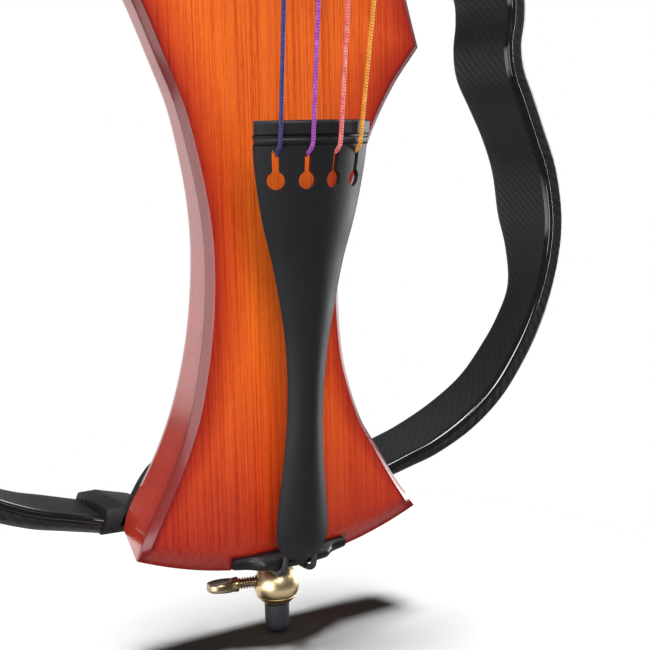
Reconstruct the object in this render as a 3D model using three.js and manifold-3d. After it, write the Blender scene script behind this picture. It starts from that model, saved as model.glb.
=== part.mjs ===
// Slim-bodied electric cello standing on its endpin.
// Millimetres, +Z up, strings face -Y, X to the right of someone looking at the strings.
// Origin: centre of the flat on the endpin's rubber tip, on the endpin's axis.
import * as THREE from 'three';
import { mergeVertices } from 'three/addons/utils/BufferGeometryUtils.js';
import Module from 'manifold-3d';

const wasm = await Module();
wasm.setup();

// ---------------------------------------------------------------- driving dimensions
const GAP = 0.3;

const BODY = {
  topZ: 799.7, plateBackY: -12.15, coreFrontY: -11.85, frontY: -17.3, backY: 20,
  leftCornerZ: 350, rightCornerZ: 309, bottomCornerZ: 58.5,
  bottomSag: 17.5, sagReach: 70, rollDepth: 4.2, rollReach: 13,
  bevel: 4, rimY: -13, shoulderY: -16.3, across: 8, heelLift: 7, heelInset: 0.07,
};
// Half-widths of the body, as [height, half-width]: a hollow waist, a pointed corner, then a taper.
const LEFT_LOWER = [
  [58.5, 84], [70, 79], [89, 68.5], [107, 59.5], [128, 51.5], [155, 45.5], [181, 42],
  [208, 41], [231, 43], [257, 48], [280, 54], [302, 63], [327, 73.5], [350, 85],
];
const RIGHT_LOWER = [
  [58.5, 82], [77, 69], [100, 55], [112, 48], [132, 41], [150, 37], [182, 35],
  [207, 36.5], [232, 43.5], [265, 58], [289, 72], [309, 88],
];
const LEFT_UPPER = [[350, 85], [372, 77], [400, 69], [440, 60], [500, 52], [600, 42], [700, 36], [800, 31]];
const RIGHT_UPPER = [
  [309, 88], [333, 81], [360, 74], [400, 66], [440, 59], [500, 51.5], [600, 42], [700, 36], [800, 31],
];
// y of the body's back edge at each height: deepest at the foot and at the neck.
const BACK_EDGE_Y = [
  [41, 20], [80, 17.5], [103, 14.3], [129, 12], [155, 8.3], [206, 4.5], [244, 0.5], [280, -2],
  [315, -3], [400, -2], [500, 2], [600, 7], [700, 11], [800, 15],
];

const STRING_LENGTH = 695;
const BRIDGE = { z: 393, halfThickness: 4.5, topThickness: 2.6, baseY: -20, height: 62, footX: 45 };
const NUT_Z = BRIDGE.z + STRING_LENGTH;

const ENDPIN = {
  rodR: 5, rodTop: 420, tipR: 6.65, tipTop: 15.2, tipBore: 3, boreR: 5.35, ballZ: 26, ballR: 12.3,
};
const COLLAR = { bottom: 15.5, split: 20.4, neckR: 7, shankR: 8.2, shankBottom: 41.3, shankTop: 84 };
const BUSHING = { innerR: 8.5, outerR: 10, bottom: 47, top: 101 };
const SCREW = { z: 28.4, threadR: 3.1, tipX: -5.9, headX: -21.6, tilt: 7, swing: 12 };

const TAIL = { top: 271, shell: 3, ridgeFrom: 262.5, ridgeTo: 269.5, ridgeRise: 1.6 };
const TAIL_HALF_WIDTH = [
  [47.5, 3], [48.6, 6.5], [51, 10.2], [55, 13.2], [60, 14.9], [66, 15.2], [77, 14.2], [99, 11.9],
  [120, 10.4], [131, 10.3], [145, 10.7], [162, 12.2], [183, 15.8], [203, 20.1],
  [223, 25.7], [240, 29.2], [256, 31.4], [271, 32],
];
const TAIL_EDGE_Y = [[47.5, -29.4], [68, -30.4], [131, -36.8], [174, -41], [205, -43], [271, -49.5]];
const TAIL_CROWN_Y = [
  [47.5, -31], [51, -33.6], [58, -35.8], [68, -37], [131, -43], [174, -47.5], [205, -51], [271, -62.3],
];
const KEYHOLE = { z: 243, holeR: 4.25, slotHalf: 1.6, slotTop: 257.5 };

// Strings from the lowest to the highest: x at the tailpiece, bridge and nut, y at the bridge, thickness.
const STRINGS = [
  { name: 'c', tailX: -22, bridgeX: -25.6, nutX: -11.4, bridgeY: -78.6, radius: 0.85, tone: 0x22258a },
  { name: 'g', tailX: -7.5, bridgeX: -10.4, nutX: -3.8, bridgeY: -83.8, radius: 0.7, tone: 0x8b3ab0 },
  { name: 'd', tailX: 7.5, bridgeX: 6.2, nutX: 3.8, bridgeY: -83.8, radius: 0.55, tone: 0xe8708a },
  { name: 'a', tailX: 22, bridgeX: 26.2, nutX: 11.4, bridgeY: -79.4, radius: 0.45, tone: 0xf0a020 },
];
const SILK_R = 1.25;

const BOARD = {
  topZ: NUT_Z - 0.4, bottomZ: 508, topHalf: 15.5, bottomHalf: 30.5, nutCrownY: -19.2, endCrownY: -66,
  topDrop: 4, bottomDrop: 8, thick: 6,
};
const NECK = { heelZ: 800, chinZ: 1086 };
const PEGBOX = { half: 19, throatHalf: 14.5, wall: 7, cavityFrom: 1104, cavityTo: 1198 };
const SCROLL = {
  y: 21, z: 1251, startR: 34, endR: 6, turns: 2.15, startHalf: 14.5, endHalf: 29, steps: 34,
};
// Tuning pegs: side of the pegbox (-1 left, 1 right) and height.
const PEGS = [
  { name: 'c', side: -1, z: 1116 },
  { name: 'g', side: -1, z: 1160 },
  { name: 'd', side: 1, z: 1182 },
  { name: 'a', side: 1, z: 1138 },
];
const PEG = { housingR: 7, flangeR: 9, drumR: 4, stemR: 3, flange: 3, headGap: 0.4 };

// Centre line of the carbon band's right half, as [x, back edge y, z], from the foot to the neck.
const BAND_FRONT_Y = 22;
// Half its thickness, as [share of its length, half-thickness].
const BAND_HALF = [[0, 4.6], [0.04, 5.4], [0.09, 6.3], [0.2, 6.9], [0.33, 6.8], [1, 6]];
const BAND_STEPS = 48;
const MOUNT_FRONT_Y = BODY.backY + 0.6;
const BAND_PATH = [
  [87.6, 67, 67.5], [106, 68, 72.4], [124, 68, 77.4], [150.5, 65, 89.8], [172, 60, 106.2],
  [188.5, 57, 126.2], [199.5, 55, 143.5], [209, 55, 163.8], [216, 65, 188], [218, 75, 211],
  [213, 75, 240], [204, 74, 262], [195, 77, 283], [187.5, 79, 300], [185.5, 79, 315], [188, 80, 331],
  [187, 80, 346], [177, 78, 362], [157, 73, 386], [140, 66, 416], [131, 62, 448], [131, 60, 480],
  [139, 60, 508], [151, 60, 528], [156, 60, 545], [157, 60, 566], [164, 62, 605], [169, 64, 650],
  [163, 62, 697], [143, 58, 741], [112, 52, 769], [76, 47, 784], [46, 45, 789], [20.3, 44, 790],
];

const CAVITY = { bottom: 444, top: 596, half: 25, floorY: -3, padY: 17 };
const PLATE = { bottom: 434, top: 606, half: 30, back: 19.8, thick: 2.5 };
const DOOR = {
  bottom: 448, top: 510, half: 16, pinY: 21.6, pinZ: 445, pinHalf: 15, knuckleR: 1.7, pinR: 0.8,
};
const KNOBS = [['volume_knob', 588], ['bass_knob', 566], ['treble_knob', 544]];
const KNOB = { x: -14, r: 7.5, rise: 9, shaftR: 3, shaftEndY: 8 };
const SWITCH = { x: 14, z: 586, travel: 4 };
const JACKS = [['headphone_jack', 567, 1.8, 4], ['output_jack', 543, 3.3, 6]];
const FRAME_SCREWS = [
  ['frame_screw_lower_left', -46, 87], ['frame_screw_lower_right', 46, 87],
  ['frame_screw_upper_left', -11, 768], ['frame_screw_upper_right', 11, 768],
];

// ---------------------------------------------------------------- materials
const tone = (color, roughness, metalness = 0) => ({ color, roughness, metalness });
const LOOK = {
  maple: tone(0xa8452c, 0.28), spruce: tone(0xd8551f, 0.28), neck: tone(0xb8552e, 0.4),
  black: tone(0x17171a, 0.3), satin: tone(0x3b3b3f, 0.5), ebony: tone(0x1c1a19, 0.45),
  brass: tone(0xd9ae5c, 0.25, 1), steel: tone(0xb9bcc0, 0.3, 1), carbon: tone(0x1b1c1f, 0.25),
  rubber: tone(0x3a383f, 0.75), cord: tone(0x2b2b2e, 0.5), bone: tone(0xece4d2, 0.4),
  bridgeMaple: tone(0xdfbe8c, 0.5), board: tone(0x1f5a36, 0.5), battery: tone(0x55585c, 0.4),
  alloy: tone(0x2a2b2e, 0.4, 0.8),
};

const cello = new THREE.Group();

function addPart(parent, name, geometry, look) {
  const mesh = new THREE.Mesh(geometry, new THREE.MeshStandardMaterial(look));
  mesh.name = name;
  parent.add(mesh);
  return mesh;
}

function addGroup() {
  const group = new THREE.Group();
  cello.add(group);
  return group;
}

// ---------------------------------------------------------------- geometry helpers
const vec = (x, y, z) => new THREE.Vector3(x, y, z);
const { lerp, clamp, degToRad } = THREE.MathUtils;

// Smooth curve through [position, value] pairs: cubic Hermite, slopes from the neighbours.
function along(table, position) {
  const last = table.length - 1;
  let i = 0;
  while (i < last - 1 && position > table[i + 1][0]) i += 1;
  const slope = (k) => {
    const before = table[Math.max(k - 1, 0)];
    const after = table[Math.min(k + 1, last)];
    return (after[1] - before[1]) / (after[0] - before[0]);
  };
  const [start, from] = table[i];
  const [end, to] = table[i + 1];
  const span = end - start;
  const t = clamp((position - start) / span, 0, 1);
  const ease = t * t * (3 - 2 * t);
  return from + (to - from) * ease
    + span * t * (1 - t) * ((1 - t) * slope(i) - t * slope(i + 1));
}

function meshGeometry(positions, index) {
  const geometry = new THREE.BufferGeometry();
  geometry.setAttribute('position', new THREE.BufferAttribute(new Float32Array(positions), 3));
  geometry.setIndex(new THREE.BufferAttribute(new Uint32Array(index), 1));
  return geometry;
}

function signedVolume(points, index) {
  let volume = 0;
  const [a, b, c] = [vec(), vec(), vec()];
  for (let i = 0; i < index.length; i += 3) {
    a.copy(points[index[i]]);
    b.copy(points[index[i + 1]]);
    c.copy(points[index[i + 2]]);
    volume += a.dot(b.cross(c)) / 6;
  }
  return volume;
}

// Closed skin over rings of equal, even point count. In each ring the second half runs back along
// the first, so the end caps are strips between the two halves.
function loft(rings) {
  const count = rings[0].length;
  const points = rings.flat();
  const index = [];
  const quad = (a, b, c, d) => index.push(a, b, c, a, c, d);
  for (let r = 0; r + 1 < rings.length; r += 1) {
    for (let i = 0; i < count; i += 1) {
      const j = (i + 1) % count;
      quad(r * count + i, r * count + j, (r + 1) * count + j, (r + 1) * count + i);
    }
  }
  const last = (rings.length - 1) * count;
  for (let i = 0; i + 1 < count / 2; i += 1) {
    const k = count - 1 - i;
    quad(i, k, k - 1, i + 1);
    quad(last + i, last + i + 1, last + k - 1, last + k);
  }
  if (signedVolume(points, index) < 0) index.reverse();
  return meshGeometry(points.flatMap((p) => p.toArray()), index);
}

function solid(geometry) {
  const bare = geometry.clone();
  bare.deleteAttribute('normal');
  bare.deleteAttribute('uv');
  const merged = mergeVertices(bare, 1e-4);
  return new wasm.Manifold(new wasm.Mesh({
    numProp: 3,
    vertProperties: new Float32Array(merged.attributes.position.array),
    triVerts: new Uint32Array(merged.index.array),
  }));
}

function fromSolid(manifold) {
  const mesh = manifold.getMesh();
  return meshGeometry(mesh.vertProperties, mesh.triVerts);
}

const union = (...pieces) => pieces.map(solid).reduce((whole, piece) => whole.add(piece));
const cut = (whole, ...tools) => tools.reduce((left, tool) => left.subtract(solid(tool)), whole);

// Box between two corners.
function box(low, high) {
  const size = high.clone().sub(low);
  const geometry = new THREE.BoxGeometry(size.x, size.y, size.z);
  return geometry.translate((low.x + high.x) / 2, (low.y + high.y) / 2, (low.z + high.z) / 2);
}

// Round bar from one point to another.
function bar(from, to, radius, sides = 24, endRadius = radius) {
  const direction = to.clone().sub(from);
  const geometry = new THREE.CylinderGeometry(endRadius, radius, direction.length(), sides);
  const turn = new THREE.Quaternion().setFromUnitVectors(vec(0, 1, 0), direction.clone().normalize());
  return geometry.applyQuaternion(turn).translate(...from.clone().add(to).multiplyScalar(0.5).toArray());
}

// Solid of revolution about Z from [radius, height] pairs.
function turned(profile, sides = 20) {
  const outline = profile.map(([r, z]) => new THREE.Vector2(r, z));
  return new THREE.LatheGeometry(outline, sides).rotateX(Math.PI / 2);
}

// Turned piece whose axis runs along -X (side -1) or +X (side 1), with its zero at the given point.
function turnedSideways(profile, side, at, sides = 20) {
  return turned(profile, sides).rotateY(side * Math.PI / 2).translate(at.x, at.y, at.z);
}

// Extrusion along Y of an outline given as [x, z] pairs.
function slab(outline, fromY, toY) {
  const shape = new THREE.Shape(outline.map(([x, z]) => new THREE.Vector2(x, z)));
  return new THREE.ExtrudeGeometry(shape, { depth: toY - fromY, bevelEnabled: false })
    .rotateX(Math.PI / 2).translate(0, toY, 0);
}

// Round tube along points, each with its own radius.
function tube(stops, sides = 8) {
  const points = stops.map(([x, y, z]) => vec(x, y, z));
  const rings = points.map((point, i) => {
    const before = points[Math.max(i - 1, 0)];
    const after = points[Math.min(i + 1, points.length - 1)];
    const forward = after.clone().sub(before).normalize();
    const across = vec(1, 0, 0).cross(forward).normalize();
    const up = forward.clone().cross(across);
    return Array.from({ length: sides }, (_, k) => {
      const angle = (2 * Math.PI * k) / sides;
      return point.clone()
        .addScaledVector(across, stops[i][3] * Math.cos(angle))
        .addScaledVector(up, stops[i][3] * Math.sin(angle));
    });
  });
  return loft(rings);
}

// ---------------------------------------------------------------- body
// Heights at which the body is sectioned: close together at the foot, then up to the corners
// and on to the neck. Each side runs through its own corner.
function bodyStations() {
  const lower = Array.from({ length: 15 }, (_, i) => (i / 14) ** 1.5).map((t) => {
    const leftZ = lerp(BODY.bottomCornerZ, BODY.leftCornerZ, t);
    const rightZ = lerp(BODY.bottomCornerZ, BODY.rightCornerZ, t);
    return { leftZ, rightZ, left: along(LEFT_LOWER, leftZ), right: along(RIGHT_LOWER, rightZ) };
  });
  const upper = Array.from({ length: 9 }, (_, i) => ((i + 1) / 9) ** 1.4).map((t) => {
    const leftZ = lerp(BODY.leftCornerZ, BODY.topZ, t);
    const rightZ = lerp(BODY.rightCornerZ, BODY.topZ, t);
    return { leftZ, rightZ, left: along(LEFT_UPPER, leftZ), right: along(RIGHT_UPPER, rightZ) };
  });
  return [...lower, ...upper];
}

// Point across a station: side runs from -1 (left edge) to 1 (right edge). The foot sags in an arc.
function bodyPoint(station, side, y) {
  const share = (side + 1) / 2;
  const height = lerp(station.leftZ, station.rightZ, share);
  const reach = clamp(1 - (height - BODY.bottomCornerZ) / BODY.sagReach, 0, 1);
  const sag = BODY.bottomSag * (1 - side * side) * reach * reach;
  return vec(lerp(-station.left, station.right, share), y, height - sag);
}

function acrossSides() {
  return Array.from({ length: BODY.across + 1 }, (_, i) => (2 * i) / BODY.across - 1);
}

function coreBackY(point, side) {
  const edge = along(BACK_EDGE_Y, point.z);
  return edge + (BODY.backY - edge) * (1 - side * side) ** 0.6;
}

function bodyBlank() {
  return loft(bodyStations().map((station) => {
    const front = acrossSides().map((side) => bodyPoint(station, side, BODY.coreFrontY));
    const heel = clamp(1 - (station.leftZ - BODY.bottomCornerZ) / 45, 0, 1) ** 2;
    const back = acrossSides().reverse().map((side) => {
      const point = bodyPoint(station, side, 0);
      point.y = coreBackY(point, side);
      point.x *= 1 - BODY.heelInset * heel;
      point.z += BODY.heelLift * heel;
      return point;
    });
    return [...front, ...back];
  }));
}

function plateBlank() {
  return loft(bodyStations().map((station) => {
    const rise = clamp(1 - (station.leftZ - BODY.bottomCornerZ) / BODY.rollReach, 0, 1) ** 2;
    const width = station.left + station.right;
    const bevelSide = 1 - (2 * BODY.bevel) / width;
    const sides = [-1, ...acrossSides().slice(1, -1).map((side) => side * bevelSide / 0.75), 1];
    const front = sides.map((side) => {
      const rim = Math.abs(side) === 1;
      const crown = lerp(BODY.frontY, BODY.shoulderY, (side / bevelSide) ** 2);
      const y = rim ? BODY.rimY : crown + BODY.rollDepth * rise;
      return bodyPoint(station, side, Math.min(y, BODY.rimY));
    });
    const back = [...sides].reverse().map((side) => bodyPoint(station, side, BODY.plateBackY));
    return [...front, ...back];
  }));
}

function pickupLeadPath(radius) {
  return tube([
    [20, -17.3, 393, radius], [20, -12, 394.5, radius], [20, -4, 406, radius],
    [20, 2, 424, radius], [20, 5, 450, radius],
  ]);
}

function bodyCore() {
  const rodBore = bar(vec(0, 0, 30), vec(0, 0, ENDPIN.rodTop + 6), ENDPIN.rodR + 0.6);
  const bushingBore = bar(vec(0, 0, 30), vec(0, 0, BUSHING.top + GAP), BUSHING.outerR + GAP, 32);
  const cavity = box(vec(-CAVITY.half, CAVITY.floorY, CAVITY.bottom), vec(CAVITY.half, 30, CAVITY.top));
  const edge = PLATE.half + GAP;
  const pad = box(vec(-edge, CAVITY.padY, PLATE.bottom - GAP), vec(edge, 30, PLATE.top + GAP));
  const holes = FRAME_SCREWS.map(([, x, z]) => bar(vec(x, 6, z), vec(x, 30, z), 2.4, 12));
  const plateHoles = plateScrewPlaces().map(([x, z]) => bar(vec(x, 8, z), vec(x, 30, z), 1.7, 12));
  return fromSolid(cut(solid(bodyBlank()), rodBore, bushingBore, cavity, pad,
    pickupLeadPath(1.5), ...holes, ...plateHoles));
}

function topPlate() {
  const notch = box(vec(-33.4, -40, 20), vec(33.4, 0, 50.4));
  return fromSolid(cut(solid(plateBlank()), notch, pickupLeadPath(1.5)));
}

// Nut-like rest at the foot: low ends, and a raised middle that the tail cord bends over.
function saddle() {
  const stops = [[-33, 0], [-27, 0.04], [-24, 0.2], [-21.5, 0.6], [-19, 1], [0, 1], [19, 1],
    [21.5, 0.6], [24, 0.2], [27, 0.04], [33, 0]];
  return loft(stops.map(([x, raise]) => {
    const foot = 41.4 + BODY.bottomSag * (x / 80) ** 2;
    return [
      vec(x, BODY.plateBackY, 50), vec(x, -17.4 - 1.2 * raise, 50),
      vec(x, -18.4 - 4.2 * raise, 48.6 - raise),
      vec(x, -18.6 - 5.2 * raise, lerp(46.5, 45.6, raise)), vec(x, -17.6 - 5 * raise, foot + 0.9),
      vec(x, -16 - 4 * raise, foot), vec(x, -14, foot), vec(x, BODY.plateBackY, foot),
    ];
  }));
}

// ---------------------------------------------------------------- endpin
function endpinTip() {
  const { tipR, tipTop } = ENDPIN;
  const boreR = ENDPIN.rodR + 0.2;
  const floor = ENDPIN.tipBore - GAP;
  return turned([[0, 0], [3.6, 0], [4.9, 0.7], [5.9, 2.1], [6.4, 4], [tipR, 6.8], [tipR, tipTop],
    [boreR, tipTop], [boreR, floor], [0, floor]], 24);
}

function endpinRod() {
  return bar(vec(0, 0, ENDPIN.tipBore), vec(0, 0, ENDPIN.rodTop), ENDPIN.rodR);
}

const ballRadius = (z) => Math.sqrt(ENDPIN.ballR ** 2 - (z - ENDPIN.ballZ) ** 2);

function ballArc(fromZ, toZ, steps) {
  return Array.from({ length: steps + 1 }, (_, i) => {
    const z = lerp(fromZ, toZ, i / steps);
    return [ballRadius(z), z];
  });
}

// Moves a piece made along -X onto the thumbscrew's axis, which points left and a little back.
function toScrewAxis(geometry) {
  return geometry.rotateZ(degToRad(-SCREW.swing)).translate(0, 0, SCREW.z);
}

function collarCap() {
  const arc = ballArc(COLLAR.bottom, COLLAR.split - 0.5, 3);
  const rim = ballRadius(COLLAR.split - 0.5) - 0.5;
  return turned([[ENDPIN.boreR, COLLAR.bottom], ...arc, [rim, COLLAR.split - GAP / 2],
    [ENDPIN.boreR, COLLAR.split - GAP / 2], [ENDPIN.boreR, COLLAR.bottom]]);
}

function collarBall() {
  const from = COLLAR.split + GAP / 2;
  const neckZ = ENDPIN.ballZ + Math.sqrt(ENDPIN.ballR ** 2 - COLLAR.neckR ** 2);
  const arc = ballArc(from + 0.5, neckZ, 6);
  const ball = turned([[ENDPIN.boreR, from], [ballRadius(from) - 0.5, from], ...arc,
    [COLLAR.neckR, COLLAR.shankBottom], [COLLAR.shankR, COLLAR.shankBottom],
    [COLLAR.shankR, COLLAR.shankTop], [ENDPIN.boreR, COLLAR.shankTop], [ENDPIN.boreR, from]]);
  const screwHole = toScrewAxis(bar(vec(-2, 0, 0), vec(-20, 0, 0), SCREW.threadR + GAP, 20));
  return fromSolid(cut(solid(ball), screwHole));
}

function bushing() {
  const { innerR, outerR, bottom, top } = BUSHING;
  return turned([[innerR, bottom], [outerR, bottom], [outerR, top], [innerR, top], [innerR, bottom]]);
}

// Threaded stem and a flat, spade-shaped head that tapers away from the stem.
function thumbscrew() {
  const stem = bar(vec(SCREW.tipX, 0, 0), vec(SCREW.headX - 1, 0, 0), SCREW.threadR, 16);
  const hub = bar(vec(SCREW.headX, 0, 0), vec(SCREW.headX - 3.5, 0, 0), 4, 16, 3.4);
  const outline = [[0.6, 3.2, 3.3], [3.6, 5.4, 3], [7.5, 6.9, 2.7], [12, 6.7, 2.4], [15, 5.2, 2.2],
    [16, 3.4, 1.9]];
  const section = [[-1, -0.55], [-0.9, -1], [0.9, -1], [1, -0.55], [1, 0.55], [0.9, 1], [-0.9, 1],
    [-1, 0.55]];
  const wing = loft(outline.map(([x, half, thick]) =>
    section.map(([a, b]) => vec(SCREW.headX - x, a * half, b * thick))));
  return toScrewAxis(fromSolid(union(stem, hub, wing)).rotateX(degToRad(-SCREW.tilt)));
}

function endpinParts() {
  const group = addGroup();
  addPart(group, 'endpin_tip', endpinTip(), LOOK.rubber);
  addPart(group, 'endpin_rod', endpinRod(), LOOK.carbon);
  addPart(group, 'endpin_collar_cap', collarCap(), LOOK.brass);
  addPart(group, 'endpin_collar', collarBall(), LOOK.brass);
  addPart(group, 'endpin_bushing', bushing(), LOOK.satin);
  addPart(group, 'endpin_thumbscrew', thumbscrew(), LOOK.brass);
}

// ---------------------------------------------------------------- tailpiece and strings
function tailCrownY(x, z) {
  const half = along(TAIL_HALF_WIDTH, z);
  const side = clamp(x / half, -1, 1);
  const edge = along(TAIL_EDGE_Y, z);
  return lerp(along(TAIL_CROWN_Y, z), edge, side * side);
}

function tailRidge(z) {
  const middle = (TAIL.ridgeFrom + TAIL.ridgeTo) / 2;
  const reach = (TAIL.ridgeTo - TAIL.ridgeFrom) / 2;
  return TAIL.ridgeRise * clamp(1.25 - Math.abs(z - middle) / reach, 0, 1);
}

function tailpieceHeights() {
  const foot = [47.5, 48.5, 50.5, 54, 59, 67];
  const blade = Array.from({ length: 12 }, (_, i) => 78 + i * 16.2);
  const head = [261, 262.9, 266, 269.1, TAIL.top];
  return [...foot, ...blade, ...head];
}

// Slope of the blade across its width at a keyhole.
const keyholeSlope = (x) => (tailCrownY(x + 1, KEYHOLE.z) - tailCrownY(x - 1, KEYHOLE.z)) / 2;

// Place behind the blade's face at a keyhole's slot, square to the arched surface.
function behindSlot(x, depth, z) {
  return vec(x - keyholeSlope(x) * depth, tailCrownY(x, KEYHOLE.slotTop) + depth, z);
}

// Cutters for one keyhole, square to the arched surface: a round hole with a slot above it.
function keyholeTools(x) {
  const outwards = vec(keyholeSlope(x), -1, 0).normalize();
  const turn = new THREE.Quaternion().setFromUnitVectors(vec(0, -1, 0), outwards);
  const slotLength = KEYHOLE.slotTop - KEYHOLE.z;
  const hole = bar(vec(0, -12, 0), vec(0, 12, 0), KEYHOLE.holeR, 18);
  const slot = box(vec(-KEYHOLE.slotHalf, -12, 0), vec(KEYHOLE.slotHalf, 12, slotLength));
  hole.applyQuaternion(turn).translate(x, tailCrownY(x, KEYHOLE.z), KEYHOLE.z);
  slot.applyQuaternion(turn).translate(x, tailCrownY(x, KEYHOLE.slotTop - 4), KEYHOLE.z);
  return [hole, slot];
}

// Arched blade, solid and narrow at its foot, a thin shell at its head.
function tailpiece() {
  const sides = [-1, -0.8, -0.55, -0.28, 0, 0.28, 0.55, 0.8, 1];
  const blade = loft(tailpieceHeights().map((z) => {
    const half = along(TAIL_HALF_WIDTH, z);
    const edge = along(TAIL_EDGE_Y, z);
    const front = sides.map((side) => vec(side * half, tailCrownY(side * half, z) - tailRidge(z), z));
    front[0].y = edge - 0.6 - tailRidge(z);
    front[8].y = edge - 0.6 - tailRidge(z);
    const back = [...sides].reverse().map((side) => {
      const inner = tailCrownY(side * half, z) + TAIL.shell * (1 - 0.45 * side * side);
      return vec(side * half * 0.97, Math.min(inner, edge + 0.9), z);
    });
    return [...front, ...back];
  }));
  return fromSolid(cut(solid(blade), ...STRINGS.flatMap(({ tailX }) => keyholeTools(tailX))));
}

// One loop of cord: up over the saddle on both sides, and round the neck of the collar.
function tailgut() {
  const r = 1.6;
  const loopZ = 38.9;
  const loopR = COLLAR.neckR + r + GAP;
  const strand = [[6.2, -26.6, 66], [6.4, -26.5, 60], [7.2, -26.6, 53], [8.2, -26.4, 48], [8.7, -26, 45],
    [9, -24.6, 41.6], [9, -21.5, 39.6], [8.9, -17, loopZ], [8.9, -8, loopZ]];
  const turn = Array.from({ length: 9 }, (_, i) => {
    const angle = (Math.PI * i) / 8;
    return [loopR * Math.cos(angle), loopR * Math.sin(angle), loopZ];
  });
  const mirrored = strand.map(([x, y, z]) => [-x, y, z]).reverse();
  const path = [...strand, ...turn, ...mirrored].map(([x, y, z]) => vec(x, y, z));
  const curve = new THREE.CatmullRomCurve3(path, false, 'centripetal');
  const section = new THREE.Shape();
  section.absarc(0, 0, r, 0, 2 * Math.PI);
  return new THREE.ExtrudeGeometry(section, { steps: 40, curveSegments: 2, extrudePath: curve });
}

const ridgeTopY = (x) => tailCrownY(x, 266) - TAIL.ridgeRise;
const boardShare = (z) => (BOARD.topZ - z) / (BOARD.topZ - BOARD.bottomZ);
const boardCrownY = (z) => lerp(BOARD.nutCrownY, BOARD.endCrownY, boardShare(z));

// y of the top of the nut under a string: the outer strings sit a little lower.
const nutY = (x) => BOARD.nutCrownY - 2.2 + (x * x) / 110;

// One string: silk at the tailpiece, winding over the bridge and nut, then down onto its peg.
function stringPath(string, peg) {
  const { tailX, bridgeX, nutX, bridgeY, radius } = string;
  const seat = behindSlot(tailX, 2.2, KEYHOLE.slotTop - 5);
  const mouth = behindSlot(tailX, -0.8, KEYHOLE.slotTop - 2.2);
  const ridge = ridgeTopY(tailX) - SILK_R - GAP;
  const pegY = pegAxisY(peg.z);
  const pegX = -peg.side * 3.5 + nutX * 0.35;
  const nutTop = nutY(nutX) - radius - GAP;
  return [
    [...seat.toArray(), SILK_R],
    [...mouth.toArray(), SILK_R],
    [tailX, lerp(mouth.y, ridge, 0.75), KEYHOLE.slotTop + 2.5, SILK_R],
    [tailX, ridge, 265, SILK_R],
    [lerp(tailX, bridgeX, 0.9), lerp(ridge, bridgeY, 0.9), 380, SILK_R],
    [lerp(tailX, bridgeX, 0.91), lerp(ridge, bridgeY, 0.91), 381, radius],
    [bridgeX, bridgeY, BRIDGE.z - 0.8, radius],
    [bridgeX, bridgeY, BRIDGE.z + 0.8, radius],
    [nutX, nutTop, NUT_Z + 1, radius],
    [nutX, nutTop, NUT_Z + 6.5, radius],
    [pegX, pegY - PEG.drumR - radius - GAP, peg.z - 3, radius],
    [pegX, pegY - PEG.drumR - radius - GAP, peg.z + 1.5, radius],
  ];
}

function ballEnd(string) {
  const place = behindSlot(string.tailX, 8.1, KEYHOLE.slotTop - 6.4);
  const profile = [[0, -2.6], [1.7, -2.6], [2.6, -1.5], [2.6, 1.5], [1.7, 2.6], [0, 2.6]];
  return turned(profile, 10).rotateY(Math.PI / 2).translate(...place.toArray());
}

function stringParts() {
  const group = addGroup();
  addPart(group, 'tailpiece', tailpiece(), LOOK.satin);
  addPart(group, 'tailgut', tailgut(), LOOK.cord);
  addPart(group, 'saddle', saddle(), LOOK.black);
  STRINGS.forEach((string) => {
    const peg = PEGS.find(({ name }) => name === string.name);
    addPart(group, `string_${string.name}`, tube(stringPath(string, peg), 6), tone(string.tone, 0.5));
    addPart(group, `string_ball_${string.name}`, ballEnd(string), LOOK.brass);
  });
}

// ---------------------------------------------------------------- bridge and pickup
// Outline in x and height above the feet, one side only, from the middle of the arch to the crest.
function bridgeOutline() {
  const half = [[0, 17], [10, 16], [18, 11.5], [23, 4.5], [25, 0], [BRIDGE.footX, 0], [44, 3.6], [37, 6.5],
    [34, 11], [34.5, 17], [38.5, 22], [39.5, 26], [35, 29], [31.5, 33], [30.5, 42], [30, 52], [28.5, 56.2]];
  const crest = [[19, 59.9], [9, 62.1], [0, 62.7]];
  const side = [...half, ...crest];
  const mirrored = side.slice(1, -1).map(([x, h]) => [-x, h]).reverse();
  return [...side, ...mirrored];
}

function bridge() {
  const shape = new THREE.Shape(bridgeOutline().map(([x, h]) => new THREE.Vector2(x, h)));
  const heart = new THREE.Path();
  heart.absarc(0, 37, 6.5, 0, 2 * Math.PI, true);
  shape.holes.push(heart);
  [-1, 1].forEach((side) => {
    const kidney = new THREE.Path();
    kidney.absellipse(side * 21.5, 34, 4.6, 8.5, 0, 2 * Math.PI, true, 0);
    shape.holes.push(kidney);
  });
  const options = { depth: 2 * BRIDGE.halfThickness, bevelEnabled: false, curveSegments: 8 };
  const blank = new THREE.ExtrudeGeometry(shape, options).translate(0, 0, -BRIDGE.halfThickness);
  const place = blank.attributes.position;
  for (let i = 0; i < place.count; i += 1) {
    const height = place.getY(i);
    const thinnest = BRIDGE.topThickness / (2 * BRIDGE.halfThickness);
    const taper = lerp(1, thinnest, clamp(height / BRIDGE.height, 0, 1));
    place.setXYZ(i, place.getX(i), BRIDGE.baseY - height, BRIDGE.z - place.getZ(i) * taper);
  }
  const notches = STRINGS.map(({ bridgeX, bridgeY, radius }) =>
    bar(vec(bridgeX, bridgeY, BRIDGE.z - 9), vec(bridgeX, bridgeY, BRIDGE.z + 9), radius + GAP, 12));
  return fromSolid(cut(solid(orientOut(blank)), ...notches));
}

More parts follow.
